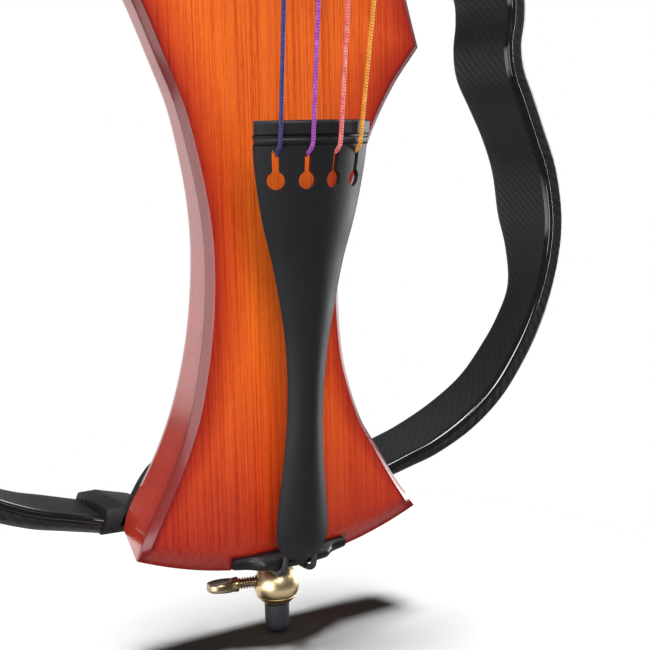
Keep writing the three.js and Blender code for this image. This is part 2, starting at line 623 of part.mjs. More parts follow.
// Turns a closed geometry's faces outwards.
function orientOut(geometry) {
  const bare = geometry.clone();
  bare.deleteAttribute('normal');
  bare.deleteAttribute('uv');
  const merged = mergeVertices(bare, 1e-4);
  const place = merged.attributes.position;
  const points = Array.from({ length: place.count }, (_, i) => vec().fromBufferAttribute(place, i));
  const index = Array.from(merged.index.array);
  if (signedVolume(points, index) < 0) index.reverse();
  return meshGeometry(place.array, index);
}

function pickupStrip() {
  return box(vec(-BRIDGE.footX, BRIDGE.baseY + GAP, BRIDGE.z - 5), vec(BRIDGE.footX, -17.7, BRIDGE.z + 5));
}

function bridgeParts() {
  const group = addGroup();
  addPart(group, 'bridge', bridge(), LOOK.bridgeMaple);
  addPart(group, 'bridge_pickup', pickupStrip(), LOOK.black);
  addPart(group, 'pickup_lead', pickupLeadPath(1.1), LOOK.cord);
}

// ---------------------------------------------------------------- neck, fingerboard and nut
const boardDrop = (z) => lerp(BOARD.topDrop, BOARD.bottomDrop, boardShare(z));
const boardBackY = (z) => boardCrownY(z) + boardDrop(z) + BOARD.thick;

function boardSection(z) {
  const half = lerp(BOARD.topHalf, BOARD.bottomHalf, boardShare(z));
  const crown = boardCrownY(z);
  const edgeDrop = boardDrop(z);
  const sides = [-1, -0.6, -0.2, 0.2, 0.6, 1];
  const front = sides.map((side) => vec(side * half, crown + edgeDrop * side * side, z));
  const back = [...sides].reverse().map((side) => vec(side * half * 0.98, boardBackY(z), z));
  return [...front, ...back];
}

function fingerboard() {
  return loft([BOARD.topZ, 950, 800, 650, BOARD.bottomZ].map(boardSection));
}

function nut() {
  const z = NUT_Z + GAP;
  const ring = (height, drop) => [-1, -0.5, 0, 0.5, 1].map((side) =>
    vec(side * BOARD.topHalf, nutY(side * BOARD.topHalf) + drop, height));
  const foot = (height) => [1, 0.5, 0, -0.5, -1].map((side) =>
    vec(side * BOARD.topHalf, boardBackY(NUT_Z), height));
  return loft([[0, 0.6], [2, 0], [6, 1.4]].map(([rise, drop]) =>
    [...ring(z + rise, drop), ...foot(z + rise)]));
}

// Rounded section of the neck under the fingerboard.
function neckSection(z, half, frontY, backY) {
  const arc = Array.from({ length: 10 }, (_, i) => {
    const angle = (Math.PI * i) / 9;
    return vec(-half * Math.cos(angle), lerp(frontY, backY, Math.sin(angle) ** 0.75), z);
  });
  return arc;
}

function neckBlade() {
  const stops = [[NECK.heelZ, 30.5, 20], [806, 30, 20], [814, 27.5, 17.5], [823, 24.5, 11], [834, 22.5, 3],
    [848, 21.4, -2.2], [870, 20.7, -5], [950, 18.8, -1.5], [1040, 16.6, 3.4], [NECK.chinZ, 15.9, 7]];
  return loft(stops.map(([z, half, back]) => neckSection(z, half, boardBackY(z) + GAP, back)));
}

// Pegbox: side outline [y, z] extruded over the width, then narrowed towards the throat.
const pegboxFrontY = (z) => lerp(-7.2, 12, (z - NUT_Z) / 130);
const pegboxBackY = (z) => lerp(9, 42, (z - NUT_Z) / 130);
const pegAxisY = (z) => lerp(pegboxFrontY(z), pegboxBackY(z), 0.5);

function pegboxRing(z, half) {
  const front = pegboxFrontY(z);
  const back = pegboxBackY(z);
  return [vec(-half, front, z), vec(half, front, z), vec(half, back - 5, z), vec(half - 5, back, z),
    vec(-half + 5, back, z), vec(-half, back - 5, z)];
}

function pegbox() {
  const width = [[NUT_Z - 4, 16], [NUT_Z + 8, PEGBOX.half], [1150, 17.5], [1200, 15.2],
    [1228, PEGBOX.throatHalf]];
  return loft(width.map(([z, half]) => pegboxRing(z, half)));
}

// Scroll: thin wedges round its eye. The spiral tightens and widens from the back to the eye.
function scrollWedge(i) {
  const at = (step) => {
    const share = step / SCROLL.steps;
    const angle = degToRad(-70) + share * SCROLL.turns * 2 * Math.PI;
    const r = SCROLL.startR * (SCROLL.endR / SCROLL.startR) ** share;
    return { y: SCROLL.y + r * Math.cos(angle), z: SCROLL.z + r * Math.sin(angle) };
  };
  const half = lerp(SCROLL.startHalf, SCROLL.endHalf, (i / SCROLL.steps) ** 1.1);
  const [a, b] = [at(i), at(i + 1.02)];
  const side = (x) => [vec(x, SCROLL.y, SCROLL.z), vec(x, a.y, a.z), vec(x, b.y, b.z)];
  const points = [...side(-half), ...side(half)];
  const index = [0, 1, 2, 3, 5, 4, 0, 3, 4, 0, 4, 1, 1, 4, 5, 1, 5, 2, 2, 5, 3, 2, 3, 0];
  if (signedVolume(points, index) < 0) index.reverse();
  return meshGeometry(points.flatMap((p) => p.toArray()), index);
}

function neck() {
  const wedges = Array.from({ length: SCROLL.steps }, (_, i) => scrollWedge(i));
  const whole = union(neckBlade(), pegbox(), ...wedges);
  const cavity = loft([PEGBOX.cavityFrom, PEGBOX.cavityTo].map((z) => {
    const half = along([[1088, 19], [1150, 17.5], [1228, 14.5]], z) - PEGBOX.wall;
    const floor = pegboxBackY(z) - 6;
    return [vec(-half, -30, z), vec(half, -30, z), vec(half, floor, z), vec(-half, floor, z)];
  }));
  const bores = PEGS.flatMap(({ side, z }) => {
    const y = pegAxisY(z);
    return [bar(vec(0, y, z), vec(side * 30, y, z), PEG.housingR + GAP, 16),
      bar(vec(0, y, z), vec(-side * 30, y, z), PEG.drumR + GAP, 12)];
  });
  return fromSolid(cut(whole, cavity, ...bores));
}

// ---------------------------------------------------------------- tuning pegs
const pegboxHalf = (z) => along([[1096, 19], [1150, 17.5], [1200, 15.2], [1228, 14.5]], z);

function pegHousing({ side, z }) {
  const wall = pegboxHalf(z - PEG.flangeR);
  const inner = pegboxHalf(z) - PEGBOX.wall;
  const { housingR, flangeR, stemR, flange } = PEG;
  const profile = [[stemR + GAP, inner], [housingR, inner], [housingR, wall + GAP], [flangeR, wall + GAP],
    [flangeR - 0.8, wall + flange], [stemR + GAP, wall + flange], [stemR + GAP, inner]];
  return turnedSideways(profile, side, vec(0, pegAxisY(z), z), 12);
}

function pegHead({ side, z }) {
  const start = pegboxHalf(z - PEG.flangeR) + PEG.flange + PEG.headGap;
  const inner = pegboxHalf(z) - PEGBOX.wall + 1;
  const spindle = turned([[0, inner], [PEG.stemR, inner], [PEG.stemR, start], [7.6, start],
    [8, start + 1.5], [6.2, start + 3.5], [4.6, start + 7], [4.4, start + 12], [0, start + 12]], 12);
  const outline = [[8, 4.4, 3.6], [13, 9.5, 4.6], [19, 12.6, 4.9], [26, 12.2, 4.2], [31, 8.5, 3.2],
    [33.5, 3.5, 2.2]];
  const section = [[-1, 0], [-0.7, -0.8], [0, -1], [0.7, -0.8], [1, 0], [0.7, 0.8], [0, 1], [-0.7, 0.8]];
  const leaf = loft(outline.map(([rise, half, thick]) =>
    section.map(([a, b]) => vec(b * thick, a * half, start + rise))));
  const tip = bar(vec(0, 0, start + 33), vec(0, 0, start + 36.5), 2.6, 10, 1.6);
  return fromSolid(union(spindle, leaf, tip)).rotateY(side * Math.PI / 2).translate(0, pegAxisY(z), z);
}

function pegDrum({ side, z }) {
  const wall = pegboxHalf(z);
  const from = wall - PEGBOX.wall - GAP;
  return bar(vec(side * from, pegAxisY(z), z), vec(-side * (wall - 0.5), pegAxisY(z), z), PEG.drumR, 12);
}

function neckParts() {
  const group = addGroup();
  addPart(group, 'neck', neck(), LOOK.neck);
  addPart(group, 'fingerboard', fingerboard(), LOOK.ebony);
  addPart(group, 'nut', nut(), LOOK.bone);
  PEGS.forEach((peg) => {
    addPart(group, `peg_housing_${peg.name}`, pegHousing(peg), LOOK.alloy);
    addPart(group, `peg_head_${peg.name}`, pegHead(peg), LOOK.ebony);
    addPart(group, `peg_drum_${peg.name}`, pegDrum(peg), LOOK.alloy);
  });
}

// ---------------------------------------------------------------- carbon frame
// Section of the band: thin across, deep front to back, with rounded edges.
function bandRing(place, outward, frontY, backY, h) {
  const side = (across, y) => vec(place.x + outward.x * across, y, place.z + outward.z * across);
  const middle = (frontY + backY) / 2;
  return [side(-0.55 * h, frontY), side(-h, frontY + 2.6), side(-h, middle), side(-0.9 * h, backY - 1.6),
    side(-0.4 * h, backY), side(0.4 * h, backY), side(0.9 * h, backY - 1.6), side(h, middle),
    side(h, frontY + 2.6), side(0.55 * h, frontY)];
}

// Centre, direction and outward side of one half of the band at a share of its length.
function bandAt(side, share) {
  const path = BAND_PATH.map(([x, y, z]) => vec(side * x, y, z));
  const curve = new THREE.CatmullRomCurve3(path, false, 'centripetal');
  const place = curve.getPointAt(share);
  const ahead = curve.getTangentAt(share).setY(0).normalize();
  return { place, ahead, outward: vec(side * ahead.z, 0, -side * ahead.x) };
}

function band(side) {
  return loft(Array.from({ length: BAND_STEPS + 1 }, (_, i) => {
    const share = i / BAND_STEPS;
    const { place, outward } = bandAt(side, share);
    return bandRing(place, outward, BAND_FRONT_Y, place.y, along(BAND_HALF, share));
  }));
}

// Bar across the back of the body: it meets both halves of the band face to face. Places between
// its ends are [x, back edge y, z, half-thickness].
function crossBar(share, middle, leftRise = 0) {
  const inset = share === 0 ? -GAP : GAP;
  const half = along(BAND_HALF, share);
  const end = (side, rise) => {
    const { place, ahead, outward } = bandAt(side, share);
    const at = place.clone().addScaledVector(ahead, inset).addScaledVector(outward, -rise);
    return bandRing(at, outward, MOUNT_FRONT_Y, place.y, half + rise);
  };
  const { outward } = bandAt(1, share);
  const down = vec(0, 0, Math.sign(outward.z));
  const between = middle.map(([x, y, z, h]) => bandRing(vec(x, 0, z), down, MOUNT_FRONT_Y, y, h));
  return loft([end(-1, leftRise), ...between, end(1, 0)]);
}

function withHoles(whole, screws) {
  return fromSolid(cut(whole, ...screws.map(([, x, z]) => bar(vec(x, 10, z), vec(x, 40, z), 2.4, 12))));
}

function lowerMount() {
  const bar = [[-76, 66, 69.5, 7], [-60, 66, 66, 6], [-40, 65, 62, 5], [40, 65, 61, 5], [70, 66, 63.5, 5]];
  const cross = crossBar(0, bar, 2.2);
  const flange = slab([[-80, 66], [-75, 76], [-67, 89], [-61, 96], [-54, 99.5], [-46, 100.5],
    [47, 100.5], [54, 98.5], [59, 94], [66, 84], [76, 72], [80, 66]], MOUNT_FRONT_Y, MOUNT_FRONT_Y + 4);
  return withHoles(union(cross, flange), FRAME_SCREWS.slice(0, 2));
}

function upperMount() {
  const cross = crossBar(1, []);
  const tab = slab([[-19, 758], [19, 758], [20, 762], [20, 787], [-20, 787], [-20, 762]],
    MOUNT_FRONT_Y, MOUNT_FRONT_Y + 4);
  return withHoles(union(cross, tab), FRAME_SCREWS.slice(2));
}

function buttonScrew(x, z, seatY, shankR, headR, length) {
  const profile = [[0, -length], [shankR, -length], [shankR, 0.3], [headR, 0.3], [headR * 0.92, 1.2],
    [headR * 0.6, 2.2], [0, 2.4]];
  return turned(profile, 10).rotateX(-Math.PI / 2).translate(x, seatY, z);
}

function frameParts() {
  const group = addGroup();
  addPart(group, 'frame_band_left', band(-1), LOOK.carbon);
  addPart(group, 'frame_band_right', band(1), LOOK.carbon);
  addPart(group, 'frame_lower_mount', lowerMount(), LOOK.carbon);
  addPart(group, 'frame_upper_mount', upperMount(), LOOK.carbon);
  FRAME_SCREWS.forEach(([name, x, z]) => {
    addPart(group, name, buttonScrew(x, z, MOUNT_FRONT_Y + 4, 2, 4.2, 16), LOOK.steel);
  });
}

// ---------------------------------------------------------------- electronics in the back
function plateScrewPlaces() {
  return [[0, PLATE.bottom + 5.2], [0, PLATE.top - 5.2]];
}

function doorKnuckle(from, to) {
  return bar(vec(from, DOOR.pinY, DOOR.pinZ), vec(to, DOOR.pinY, DOOR.pinZ), DOOR.knuckleR, 12);
}

function doorPinBore() {
  const { pinY, pinZ, pinR } = DOOR;
  return bar(vec(-20, pinY, pinZ), vec(20, pinY, pinZ), pinR + 0.2, 12);
}

function controlPlate() {
  const front = PLATE.back - PLATE.thick;
  const plate = box(vec(-PLATE.half, front, PLATE.bottom), vec(PLATE.half, PLATE.back, PLATE.top));
  const lugs = [[-DOOR.pinHalf, -9.4], [9.4, DOOR.pinHalf]].flatMap(([from, to]) => [
    doorKnuckle(from, to),
    box(vec(from, PLATE.back - 0.5, DOOR.pinZ - 1.2), vec(to, DOOR.pinY, DOOR.pinZ + 1.2)),
  ]);
  const open = (x, z, r) => bar(vec(x, 10, z), vec(x, 30, z), r, 20);
  const opening = (x, half, low, high) => box(vec(x - half, 10, low), vec(x + half, 30, high));
  const window = opening(0, DOOR.half + 0.4, DOOR.bottom - 0.4, DOOR.top + 0.4);
  const slot = opening(SWITCH.x, 2.4, SWITCH.z - 3.4, SWITCH.z + SWITCH.travel + 3.4);
  return fromSolid(cut(union(plate, ...lugs), window, slot, doorPinBore(),
    ...KNOBS.map(([, z]) => open(KNOB.x, z, KNOB.shaftR + GAP)),
    ...JACKS.map(([, z, , r]) => open(SWITCH.x, z, r + GAP)),
    ...plateScrewPlaces().map(([x, z]) => open(x, z, 1.7))));
}

function batteryDoor() {
  const outer = box(vec(-DOOR.half, PLATE.back - 2.2, DOOR.bottom), vec(DOOR.half, PLATE.back, DOOR.top));
  const riser = box(vec(-9, PLATE.back - 0.6, DOOR.bottom), vec(9, DOOR.pinY + 1, DOOR.bottom + 2.5));
  const web = box(vec(-9, PLATE.back + 0.4, DOOR.pinZ), vec(9, DOOR.pinY + 1, DOOR.bottom + 2.5));
  const pull = box(vec(-5, PLATE.back - 0.5, DOOR.top - 5), vec(5, PLATE.back + 1.4, DOOR.top - 2.5));
  return fromSolid(cut(union(outer, doorKnuckle(-9, 9), riser, web, pull), doorPinBore()));
}

function knob() {
  const { r, rise, shaftR, shaftEndY } = KNOB;
  const depth = PLATE.back - shaftEndY;
  return turned([[0, -depth], [shaftR, -depth], [shaftR, 0.5], [r, 0.5], [r, 2], [r - 0.7, rise - 0.8],
    [r - 1.5, rise], [0, rise]], 16).rotateX(-Math.PI / 2);
}

function jack(innerR, outerR) {
  const rim = outerR + 2;
  return turned([[innerR, -16], [outerR, -16], [outerR, GAP], [rim, GAP], [rim, 1.6], [rim - 0.6, 2.2],
    [innerR, 2.2], [innerR, -16]], 16).rotateX(-Math.PI / 2);
}

function circuitBoard() {
  const sheet = box(vec(-23, -1.4, 520), vec(23, 0.2, 594));
  const pots = KNOBS.map(([, z]) =>
    box(vec(KNOB.x - 5, 0, z - 5), vec(KNOB.x + 5, KNOB.shaftEndY - 0.8, z + 5)));
  const slider = box(vec(SWITCH.x - 4, 0, SWITCH.z - 5), vec(SWITCH.x + 4, 9, SWITCH.z + 7));
  return fromSolid(union(sheet, ...pots, slider));
}

function switchButton() {
  const stem = box(vec(-1.6, 9.6, -2.4), vec(1.6, PLATE.back + 1.8, 2.4));
  return stem.translate(SWITCH.x, 0, SWITCH.z);
}

function electronicsParts() {
  const group = addGroup();
  addPart(group, 'control_plate', controlPlate(), LOOK.alloy);
  addPart(group, 'circuit_board', circuitBoard(), LOOK.board);
  addPart(group, 'battery', box(vec(-13.2, -2.4, 452), vec(13.2, 15, 500.5)), LOOK.battery);
  addPart(group, 'battery_door', batteryDoor(), LOOK.black);
  const pin = bar(vec(-DOOR.pinHalf, DOOR.pinY, DOOR.pinZ), vec(DOOR.pinHalf, DOOR.pinY, DOOR.pinZ),
    DOOR.pinR, 10);
  addPart(group, 'battery_door_pin', pin, LOOK.steel);
  KNOBS.forEach(([name, z]) => {
    addPart(group, name, knob(), LOOK.black).position.set(KNOB.x, PLATE.back, z);
  });
  addPart(group, 'power_switch', switchButton(), LOOK.black);
  JACKS.forEach(([name, z, innerR, outerR]) => {
    addPart(group, name, jack(innerR, outerR), LOOK.steel).position.set(SWITCH.x, PLATE.back, z);
  });
  plateScrewPlaces().forEach(([x, z], i) => {
    const name = ['plate_screw_lower', 'plate_screw_upper'][i];
    addPart(group, name, buttonScrew(x, z, PLATE.back, 1.4, 2.8, 10), LOOK.steel);
  });
}

// ---------------------------------------------------------------- assembly
function bodyParts() {
  const group = addGroup();
  addPart(group, 'body_core', bodyCore(), LOOK.maple);
  addPart(group, 'top_plate', topPlate(), LOOK.spruce);
}

bodyParts();
endpinParts();
stringParts();
bridgeParts();
neckParts();
frameParts();
electronicsParts();

export default cello;
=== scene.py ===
"""Looks of a slim electric cello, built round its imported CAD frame.

Lengths in the tables are millimetres in the CAD frame: +Z up, strings face -Y, X to the right of
someone looking at the strings. Meshes are scaled to metres as they are made.
"""

import math
import random

import bmesh
import bpy
from mathutils import Matrix, Vector


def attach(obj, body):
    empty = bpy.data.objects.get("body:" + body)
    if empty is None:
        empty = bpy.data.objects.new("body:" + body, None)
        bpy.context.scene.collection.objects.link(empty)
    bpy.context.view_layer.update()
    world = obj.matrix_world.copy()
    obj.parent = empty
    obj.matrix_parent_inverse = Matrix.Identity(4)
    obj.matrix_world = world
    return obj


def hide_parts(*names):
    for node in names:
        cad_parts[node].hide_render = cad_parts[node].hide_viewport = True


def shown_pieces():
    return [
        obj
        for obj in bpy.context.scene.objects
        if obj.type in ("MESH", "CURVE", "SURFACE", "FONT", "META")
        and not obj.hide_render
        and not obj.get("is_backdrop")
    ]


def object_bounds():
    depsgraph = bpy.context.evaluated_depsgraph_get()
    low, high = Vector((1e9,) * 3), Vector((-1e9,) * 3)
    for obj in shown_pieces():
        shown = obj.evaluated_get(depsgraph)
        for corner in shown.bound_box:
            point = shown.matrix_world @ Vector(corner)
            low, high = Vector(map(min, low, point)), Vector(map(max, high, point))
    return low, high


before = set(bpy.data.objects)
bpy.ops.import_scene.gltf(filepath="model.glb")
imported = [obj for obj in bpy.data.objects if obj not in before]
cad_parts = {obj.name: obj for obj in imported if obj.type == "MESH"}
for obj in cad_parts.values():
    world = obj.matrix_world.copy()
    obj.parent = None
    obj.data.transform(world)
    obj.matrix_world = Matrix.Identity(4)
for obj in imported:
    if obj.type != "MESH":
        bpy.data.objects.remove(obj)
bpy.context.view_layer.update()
MM = 0.001
TAU = 2 * math.pi
ROOT = "instrument"

# ---------------------------------------------------------------- dimensions, as in the CAD
BODY = dict(top_z=799.7, plate_back_y=-12.15, core_front_y=-11.85, front_y=-17.3, back_y=20,
            left_corner_z=350, right_corner_z=309, bottom_corner_z=58.5, bottom_sag=17.5,
            sag_reach=70, roll_depth=4.2, roll_reach=13, bevel=4, rim_y=-13, shoulder_y=-16.3,
            heel_lift=7, heel_inset=0.07, heel_reach=45)
LEFT_LOWER = [(58.5, 84), (70, 79), (89, 68.5), (107, 59.5), (128, 51.5), (155, 45.5), (181, 42),
              (208, 41), (231, 43), (257, 48), (280, 54), (302, 63), (327, 73.5), (350, 85)]
RIGHT_LOWER = [(58.5, 82), (77, 69), (100, 55), (112, 48), (132, 41), (150, 37), (182, 35),
               (207, 36.5), (232, 43.5), (265, 58), (289, 72), (309, 88)]
LEFT_UPPER = [(350, 85), (372, 77), (400, 69), (440, 60), (500, 52), (600, 42), (700, 36), (800, 31)]
RIGHT_UPPER = [(309, 88), (333, 81), (360, 74), (400, 66), (440, 59), (500, 51.5), (600, 42),
               (700, 36), (800, 31)]
BACK_EDGE_Y = [(41, 20), (80, 17.5), (103, 14.3), (129, 12), (155, 8.3), (206, 4.5), (244, 0.5),
               (280, -2), (315, -3), (400, -2), (500, 2), (600, 7), (700, 11), (800, 15)]
STAIN_WIDTH = 150
RIB_RIM = (0.012, 0.016, 0.012)
BRIDGE_Z, BRIDGE_BASE_Y, BRIDGE_FOOT_X, BRIDGE_TALL = 393, -20, 45, 62
NUT_Z, NUT_HALF = 1088, 15.5
SADDLE_HALF, SADDLE_TOP = 33, 50
TAIL_HALF = [(47.5, 3), (48.6, 6.5), (51, 10.2), (55, 13.2), (60, 14.9), (66, 15.2), (77, 14.2),
             (99, 11.9), (120, 10.4), (131, 10.3), (145, 10.7), (162, 12.2), (183, 15.8), (203, 20.1),
             (223, 25.7), (240, 29.2), (256, 31.4), (271, 32)]
TAIL_EDGE_Y = [(47.5, -29.4), (68, -30.4), (131, -36.8), (174, -41), (205, -43), (271, -49.5)]
TAIL_CROWN_Y = [(47.5, -31), (51, -33.6), (58, -35.8), (68, -37), (131, -43), (174, -47.5),
                (205, -51), (271, -62.3)]
TAIL_TOP, TAIL_SHELL = 271, 3
TAIL_ROUND = 0.94
KEYHOLE_Z, KEYHOLE_R, SLOT_HALF, SLOT_TOP = 243, 4.25, 1.6, 257.5
CORD_R, LEAD_R, SILK_R = 1.6, 1.1, 1.1
STRINGS = [
    dict(name="c", tail=-22, bridge=-25.6, nut=-11.4, bridge_y=-78.6, r=0.85, side=-1, peg_z=1116),
    dict(name="g", tail=-7.5, bridge=-10.4, nut=-3.8, bridge_y=-83.8, r=0.7, side=-1, peg_z=1160),
    dict(name="d", tail=7.5, bridge=6.2, nut=3.8, bridge_y=-83.8, r=0.55, side=1, peg_z=1182),
    dict(name="a", tail=22, bridge=26.2, nut=11.4, bridge_y=-79.4, r=0.45, side=1, peg_z=1138),
]
ROD_R, BORE_R, NECK_R = 5, 5.4, 7
BALL_Z, BALL_R, SPLIT_Z = 26, 12.3, 20.4
SCREW_Z, SCREW_HEAD_X, SCREW_TILT, SCREW_SWING = 28.4, -21.6, 7, 12
BAND_FRONT_Y = 22
BAND_HALF = [(0, 4.6), (0.04, 5.4), (0.09, 6.3), (0.2, 6.9), (0.33, 6.8), (1, 6)]
BAND_PATH = [
    (87.6, 67, 67.5), (106, 68, 72.4), (124, 68, 77.4), (150.5, 65, 89.8), (172, 60, 106.2),
    (188.5, 57, 126.2), (199.5, 55, 143.5), (209, 55, 163.8), (216, 65, 188), (218, 75, 211), (213, 75, 240),
    (204, 74, 262),
    (195, 77, 283), (187.5, 79, 300), (185.5, 79, 315), (188, 80, 331), (187, 80, 346), (177, 78, 362),
    (157, 73, 386), (140, 66, 416), (131, 62, 448), (131, 60, 480), (139, 60, 508), (151, 60, 528),
    (156, 60, 545), (157, 60, 566), (164, 62, 605), (169, 64, 650), (163, 62, 697), (143, 58, 741),
    (112, 52, 769), (76, 47, 784), (46, 45, 789), (20.3, 44, 790),
]
BOARD = dict(top_z=NUT_Z - 0.4, bottom_z=508, nut_crown_y=-19.2, end_crown_y=-66)
NECK_HEEL_Z = 800
SCROLL_Y, SCROLL_Z = 21, 1251
PEG_WALL = 7
MOUNT_FRONT_Y = 20.6
FRAME_SCREWS = {"lower_left": (-46, 87), "lower_right": (46, 87),
                "upper_left": (-11, 768), "upper_right": (11, 768)}
PLATE_SCREWS = {"lower": 439.2, "upper": 600.8}
PLATE_BACK = 19.8
HINGE_Y, HINGE_Z, HINGE_R = 21.6, 445, 1.7
CONTROL_X = 14
KNOBS = [("volume_knob", 588), ("bass_knob", 566), ("treble_knob", 544)]
JACKS = [("headphone_jack", 567, 1.8, 4), ("output_jack", 543, 3.3, 6)]


# ---------------------------------------------------------------- small helpers
def lerp(a, b, t):
    return a + (b - a) * t


def clamp(value, low=0.0, high=1.0):
    return max(low, min(high, value))


def ease(t):
    t = clamp(t)
    return t * t * (3 - 2 * t)


def hump(t):
    """Half a circle over -1 to 1, nought outside."""
    return math.sqrt(max(0.0, 1 - t * t))


def steps(count, low=0.0, high=1.0):
    return [lerp(low, high, i / count) for i in range(count + 1)]


def circle(radius, sides):
    return [(radius * math.cos(TAU * i / sides), radius * math.sin(TAU * i / sides)) for i in range(sides)]


def along(table, position):
    """Smooth curve through (position, value) pairs, the same one that the CAD uses."""
    last = len(table) - 1
    i = 0
    while i < last - 1 and position > table[i + 1][0]:
        i += 1

    def slope(k):
        before, after = table[max(k - 1, 0)], table[min(k + 1, last)]
        return (after[1] - before[1]) / (after[0] - before[0])

    (start, low), (end, high) = table[i], table[i + 1]
    span = end - start
    t = clamp((position - start) / span)
    return (low + (high - low) * t * t * (3 - 2 * t)
            + span * t * (1 - t) * ((1 - t) * slope(i) - t * slope(i + 1)))


def spline(points, count):
    """Centripetal Catmull-Rom curve through points, resampled to even spacing."""
    p = [Vector(q) for q in points]
    p = [2 * p[0] - p[1], *p, 2 * p[-1] - p[-2]]
    dense = []
    for a, b, c, d in zip(p, p[1:], p[2:], p[3:]):
        t1 = math.sqrt(max((b - a).length, 1e-6))
        t2 = t1 + math.sqrt(max((c - b).length, 1e-6))
        t3 = t2 + math.sqrt(max((d - c).length, 1e-6))
        for t in steps(24, t1, t2)[:-1]:
            ab, bc, cd = a.lerp(b, t / t1), b.lerp(c, (t - t1) / (t2 - t1)), c.lerp(d, (t - t2) / (t3 - t2))
            low, high = ab.lerp(bc, t / t2), bc.lerp(cd, (t - t1) / (t3 - t1))
            dense.append(low.lerp(high, (t - t1) / (t2 - t1)))
    dense.append(p[-2])
    lengths = [0.0]
    for a, b in zip(dense, dense[1:]):
        lengths.append(lengths[-1] + (b - a).length)
    made, k = [], 0
    for want in steps(count, 0, lengths[-1]):
        while k < len(dense) - 2 and lengths[k + 1] < want:
            k += 1
        share = (want - lengths[k]) / max(lengths[k + 1] - lengths[k], 1e-9)
        made.append(dense[k].lerp(dense[k + 1], clamp(share)))
    return made


def rounded(profile, radius=0.4, cuts=3):
    """The path with each inner corner replaced by a small arc."""
    made = [Vector(profile[0])]
    for pa, pb, pc in zip(*[[Vector(p) for p in profile[k:]] for k in range(3)]):
        near = min(radius, (pa - pb).length * 0.45, (pc - pb).length * 0.45)
        if near < 1e-4:
            made.append(pb)
            continue
        low, high = pb + (pa - pb).normalized() * near, pb + (pc - pb).normalized() * near
        made += [low.lerp(pb, t).lerp(pb.lerp(high, t), t) for t in steps(cuts)]
    made.append(Vector(profile[-1]))
    return made


def rounded_loop(profile, radius, cuts):
    """The closed outline with its corners rounded, but for the one it starts from."""
    return rounded([*profile, profile[0]], radius, cuts)[:-1]


# ---------------------------------------------------------------- shapes: points, faces and sometimes places
def loft(rings, caps=True):
    """Skin over rings of equal count, with its (round, along) places in millimetres."""
    rings = [[Vector(p) for p in ring] for ring in rings]
    count = len(rings[0])
    faces, uvs, run = [], [], 0.0
    for r, ring in enumerate(rings):
        if r:
            run += sum((a - b).length for a, b in zip(ring, rings[r - 1])) / count
        turn = 0.0
        for i, p in enumerate(ring):
            if i:
                turn += (p - ring[i - 1]).length
            uvs.append((turn, run))
    for r in range(len(rings) - 1):
        for i in range(count):
            j = (i + 1) % count
            faces.append((r * count + i, r * count + j, (r + 1) * count + j, (r + 1) * count + i))
    if caps:
        faces.append(tuple(range(count - 1, -1, -1)))
        faces.append(tuple(range((len(rings) - 1) * count, len(rings) * count)))
    return [p for ring in rings for p in ring], faces, uvs


def lathe(profile, sides=64, close=False):
    """Surface of revolution about Z from (radius, height) pairs; points on the axis become one vertex."""
    verts, faces, uvs, rows = [], [], [], []
    run = 0.0
    for k, (r, z) in enumerate(profile):
        if k:
            run += math.dist(profile[k - 1], (r, z))
        if r < 1e-6:
            rows.append([len(verts)] * sides)
            verts.append(Vector((0, 0, z)))
            uvs.append((0, run))
            continue
        rows.append(range(len(verts), len(verts) + sides))
        verts += [Vector((x, y, z)) for x, y in circle(r, sides)]
        uvs += [(r * TAU * i / sides, run) for i in range(sides)]
    pairs = list(zip(rows, rows[1:]))
    if close:
        pairs.append((rows[-1], rows[0]))
    for low, high in pairs:
        for i in range(sides):
            j = (i + 1) % sides
            face = list(dict.fromkeys((low[i], low[j], high[j], high[i])))
            if len(face) > 2:
                faces.append(tuple(face))
    return verts, faces, uvs


def ring_lathe(profile, sides, radius, cuts):
    """Surface of revolution of a closed profile with rounded corners."""
    return lathe(rounded_loop(profile, radius, cuts), sides, True)[:2]


def moved(shape, *turns, at=(0, 0, 0)):
    """A shape turned by (axis, degrees) pairs in order, then shifted, without its places."""
    whole = Matrix.Identity(3)
    for axis, degrees in turns:
        whole = Matrix.Rotation(math.radians(degrees), 3, axis) @ whole
    return [whole @ Vector(v) + Vector(at) for v in shape[0]], shape[1]


def joined(*shapes):
    verts, faces = [], []
    for shape in shapes:
        faces += [tuple(i + len(verts) for i in f) for f in shape[1]]
        verts += shape[0]
    return verts, faces


def box(low, high):
    (a, b, c), (d, e, f) = low, high
    verts = [(a, b, c), (d, b, c), (d, e, c), (a, e, c), (a, b, f), (d, b, f), (d, e, f), (a, e, f)]
    faces = [(0, 3, 2, 1), (4, 5, 6, 7), (0, 1, 5, 4), (1, 2, 6, 5), (2, 3, 7, 6), (3, 0, 4, 7)]
    return verts, faces


def rod(start, end, radius, sides=32):
    start, end = Vector(start), Vector(end)
    turn = Vector((0, 0, 1)).rotation_difference((end - start).normalized())
    ring = [turn @ Vector((x, y, 0)) for x, y in circle(radius, sides)]
    return loft([[spoke + at for spoke in ring] for at in (start, end)])[:2]


def prism(outline, low, high):
    """Straight extrusion of an (x, z) outline along Y."""
    return loft([[(x, y, z) for x, z in outline] for y in (low, high)])[:2]


def tube(path, radii, sides=16):
    """Round skin along a path, without twist."""
    path = [Vector(p) for p in path]
    rings, across = [], None
    for i, p in enumerate(path):
        forward = (path[min(i + 1, len(path) - 1)] - path[max(i - 1, 0)]).normalized()
        if across is None:
            across = forward.orthogonal().normalized()
        across = (across - forward * across.dot(forward)).normalized()
        up = forward.cross(across)
        r = radii[i] if isinstance(radii, list) else radii
        rings.append([p + across * a + up * b for a, b in circle(r, sides)])
    return loft(rings)


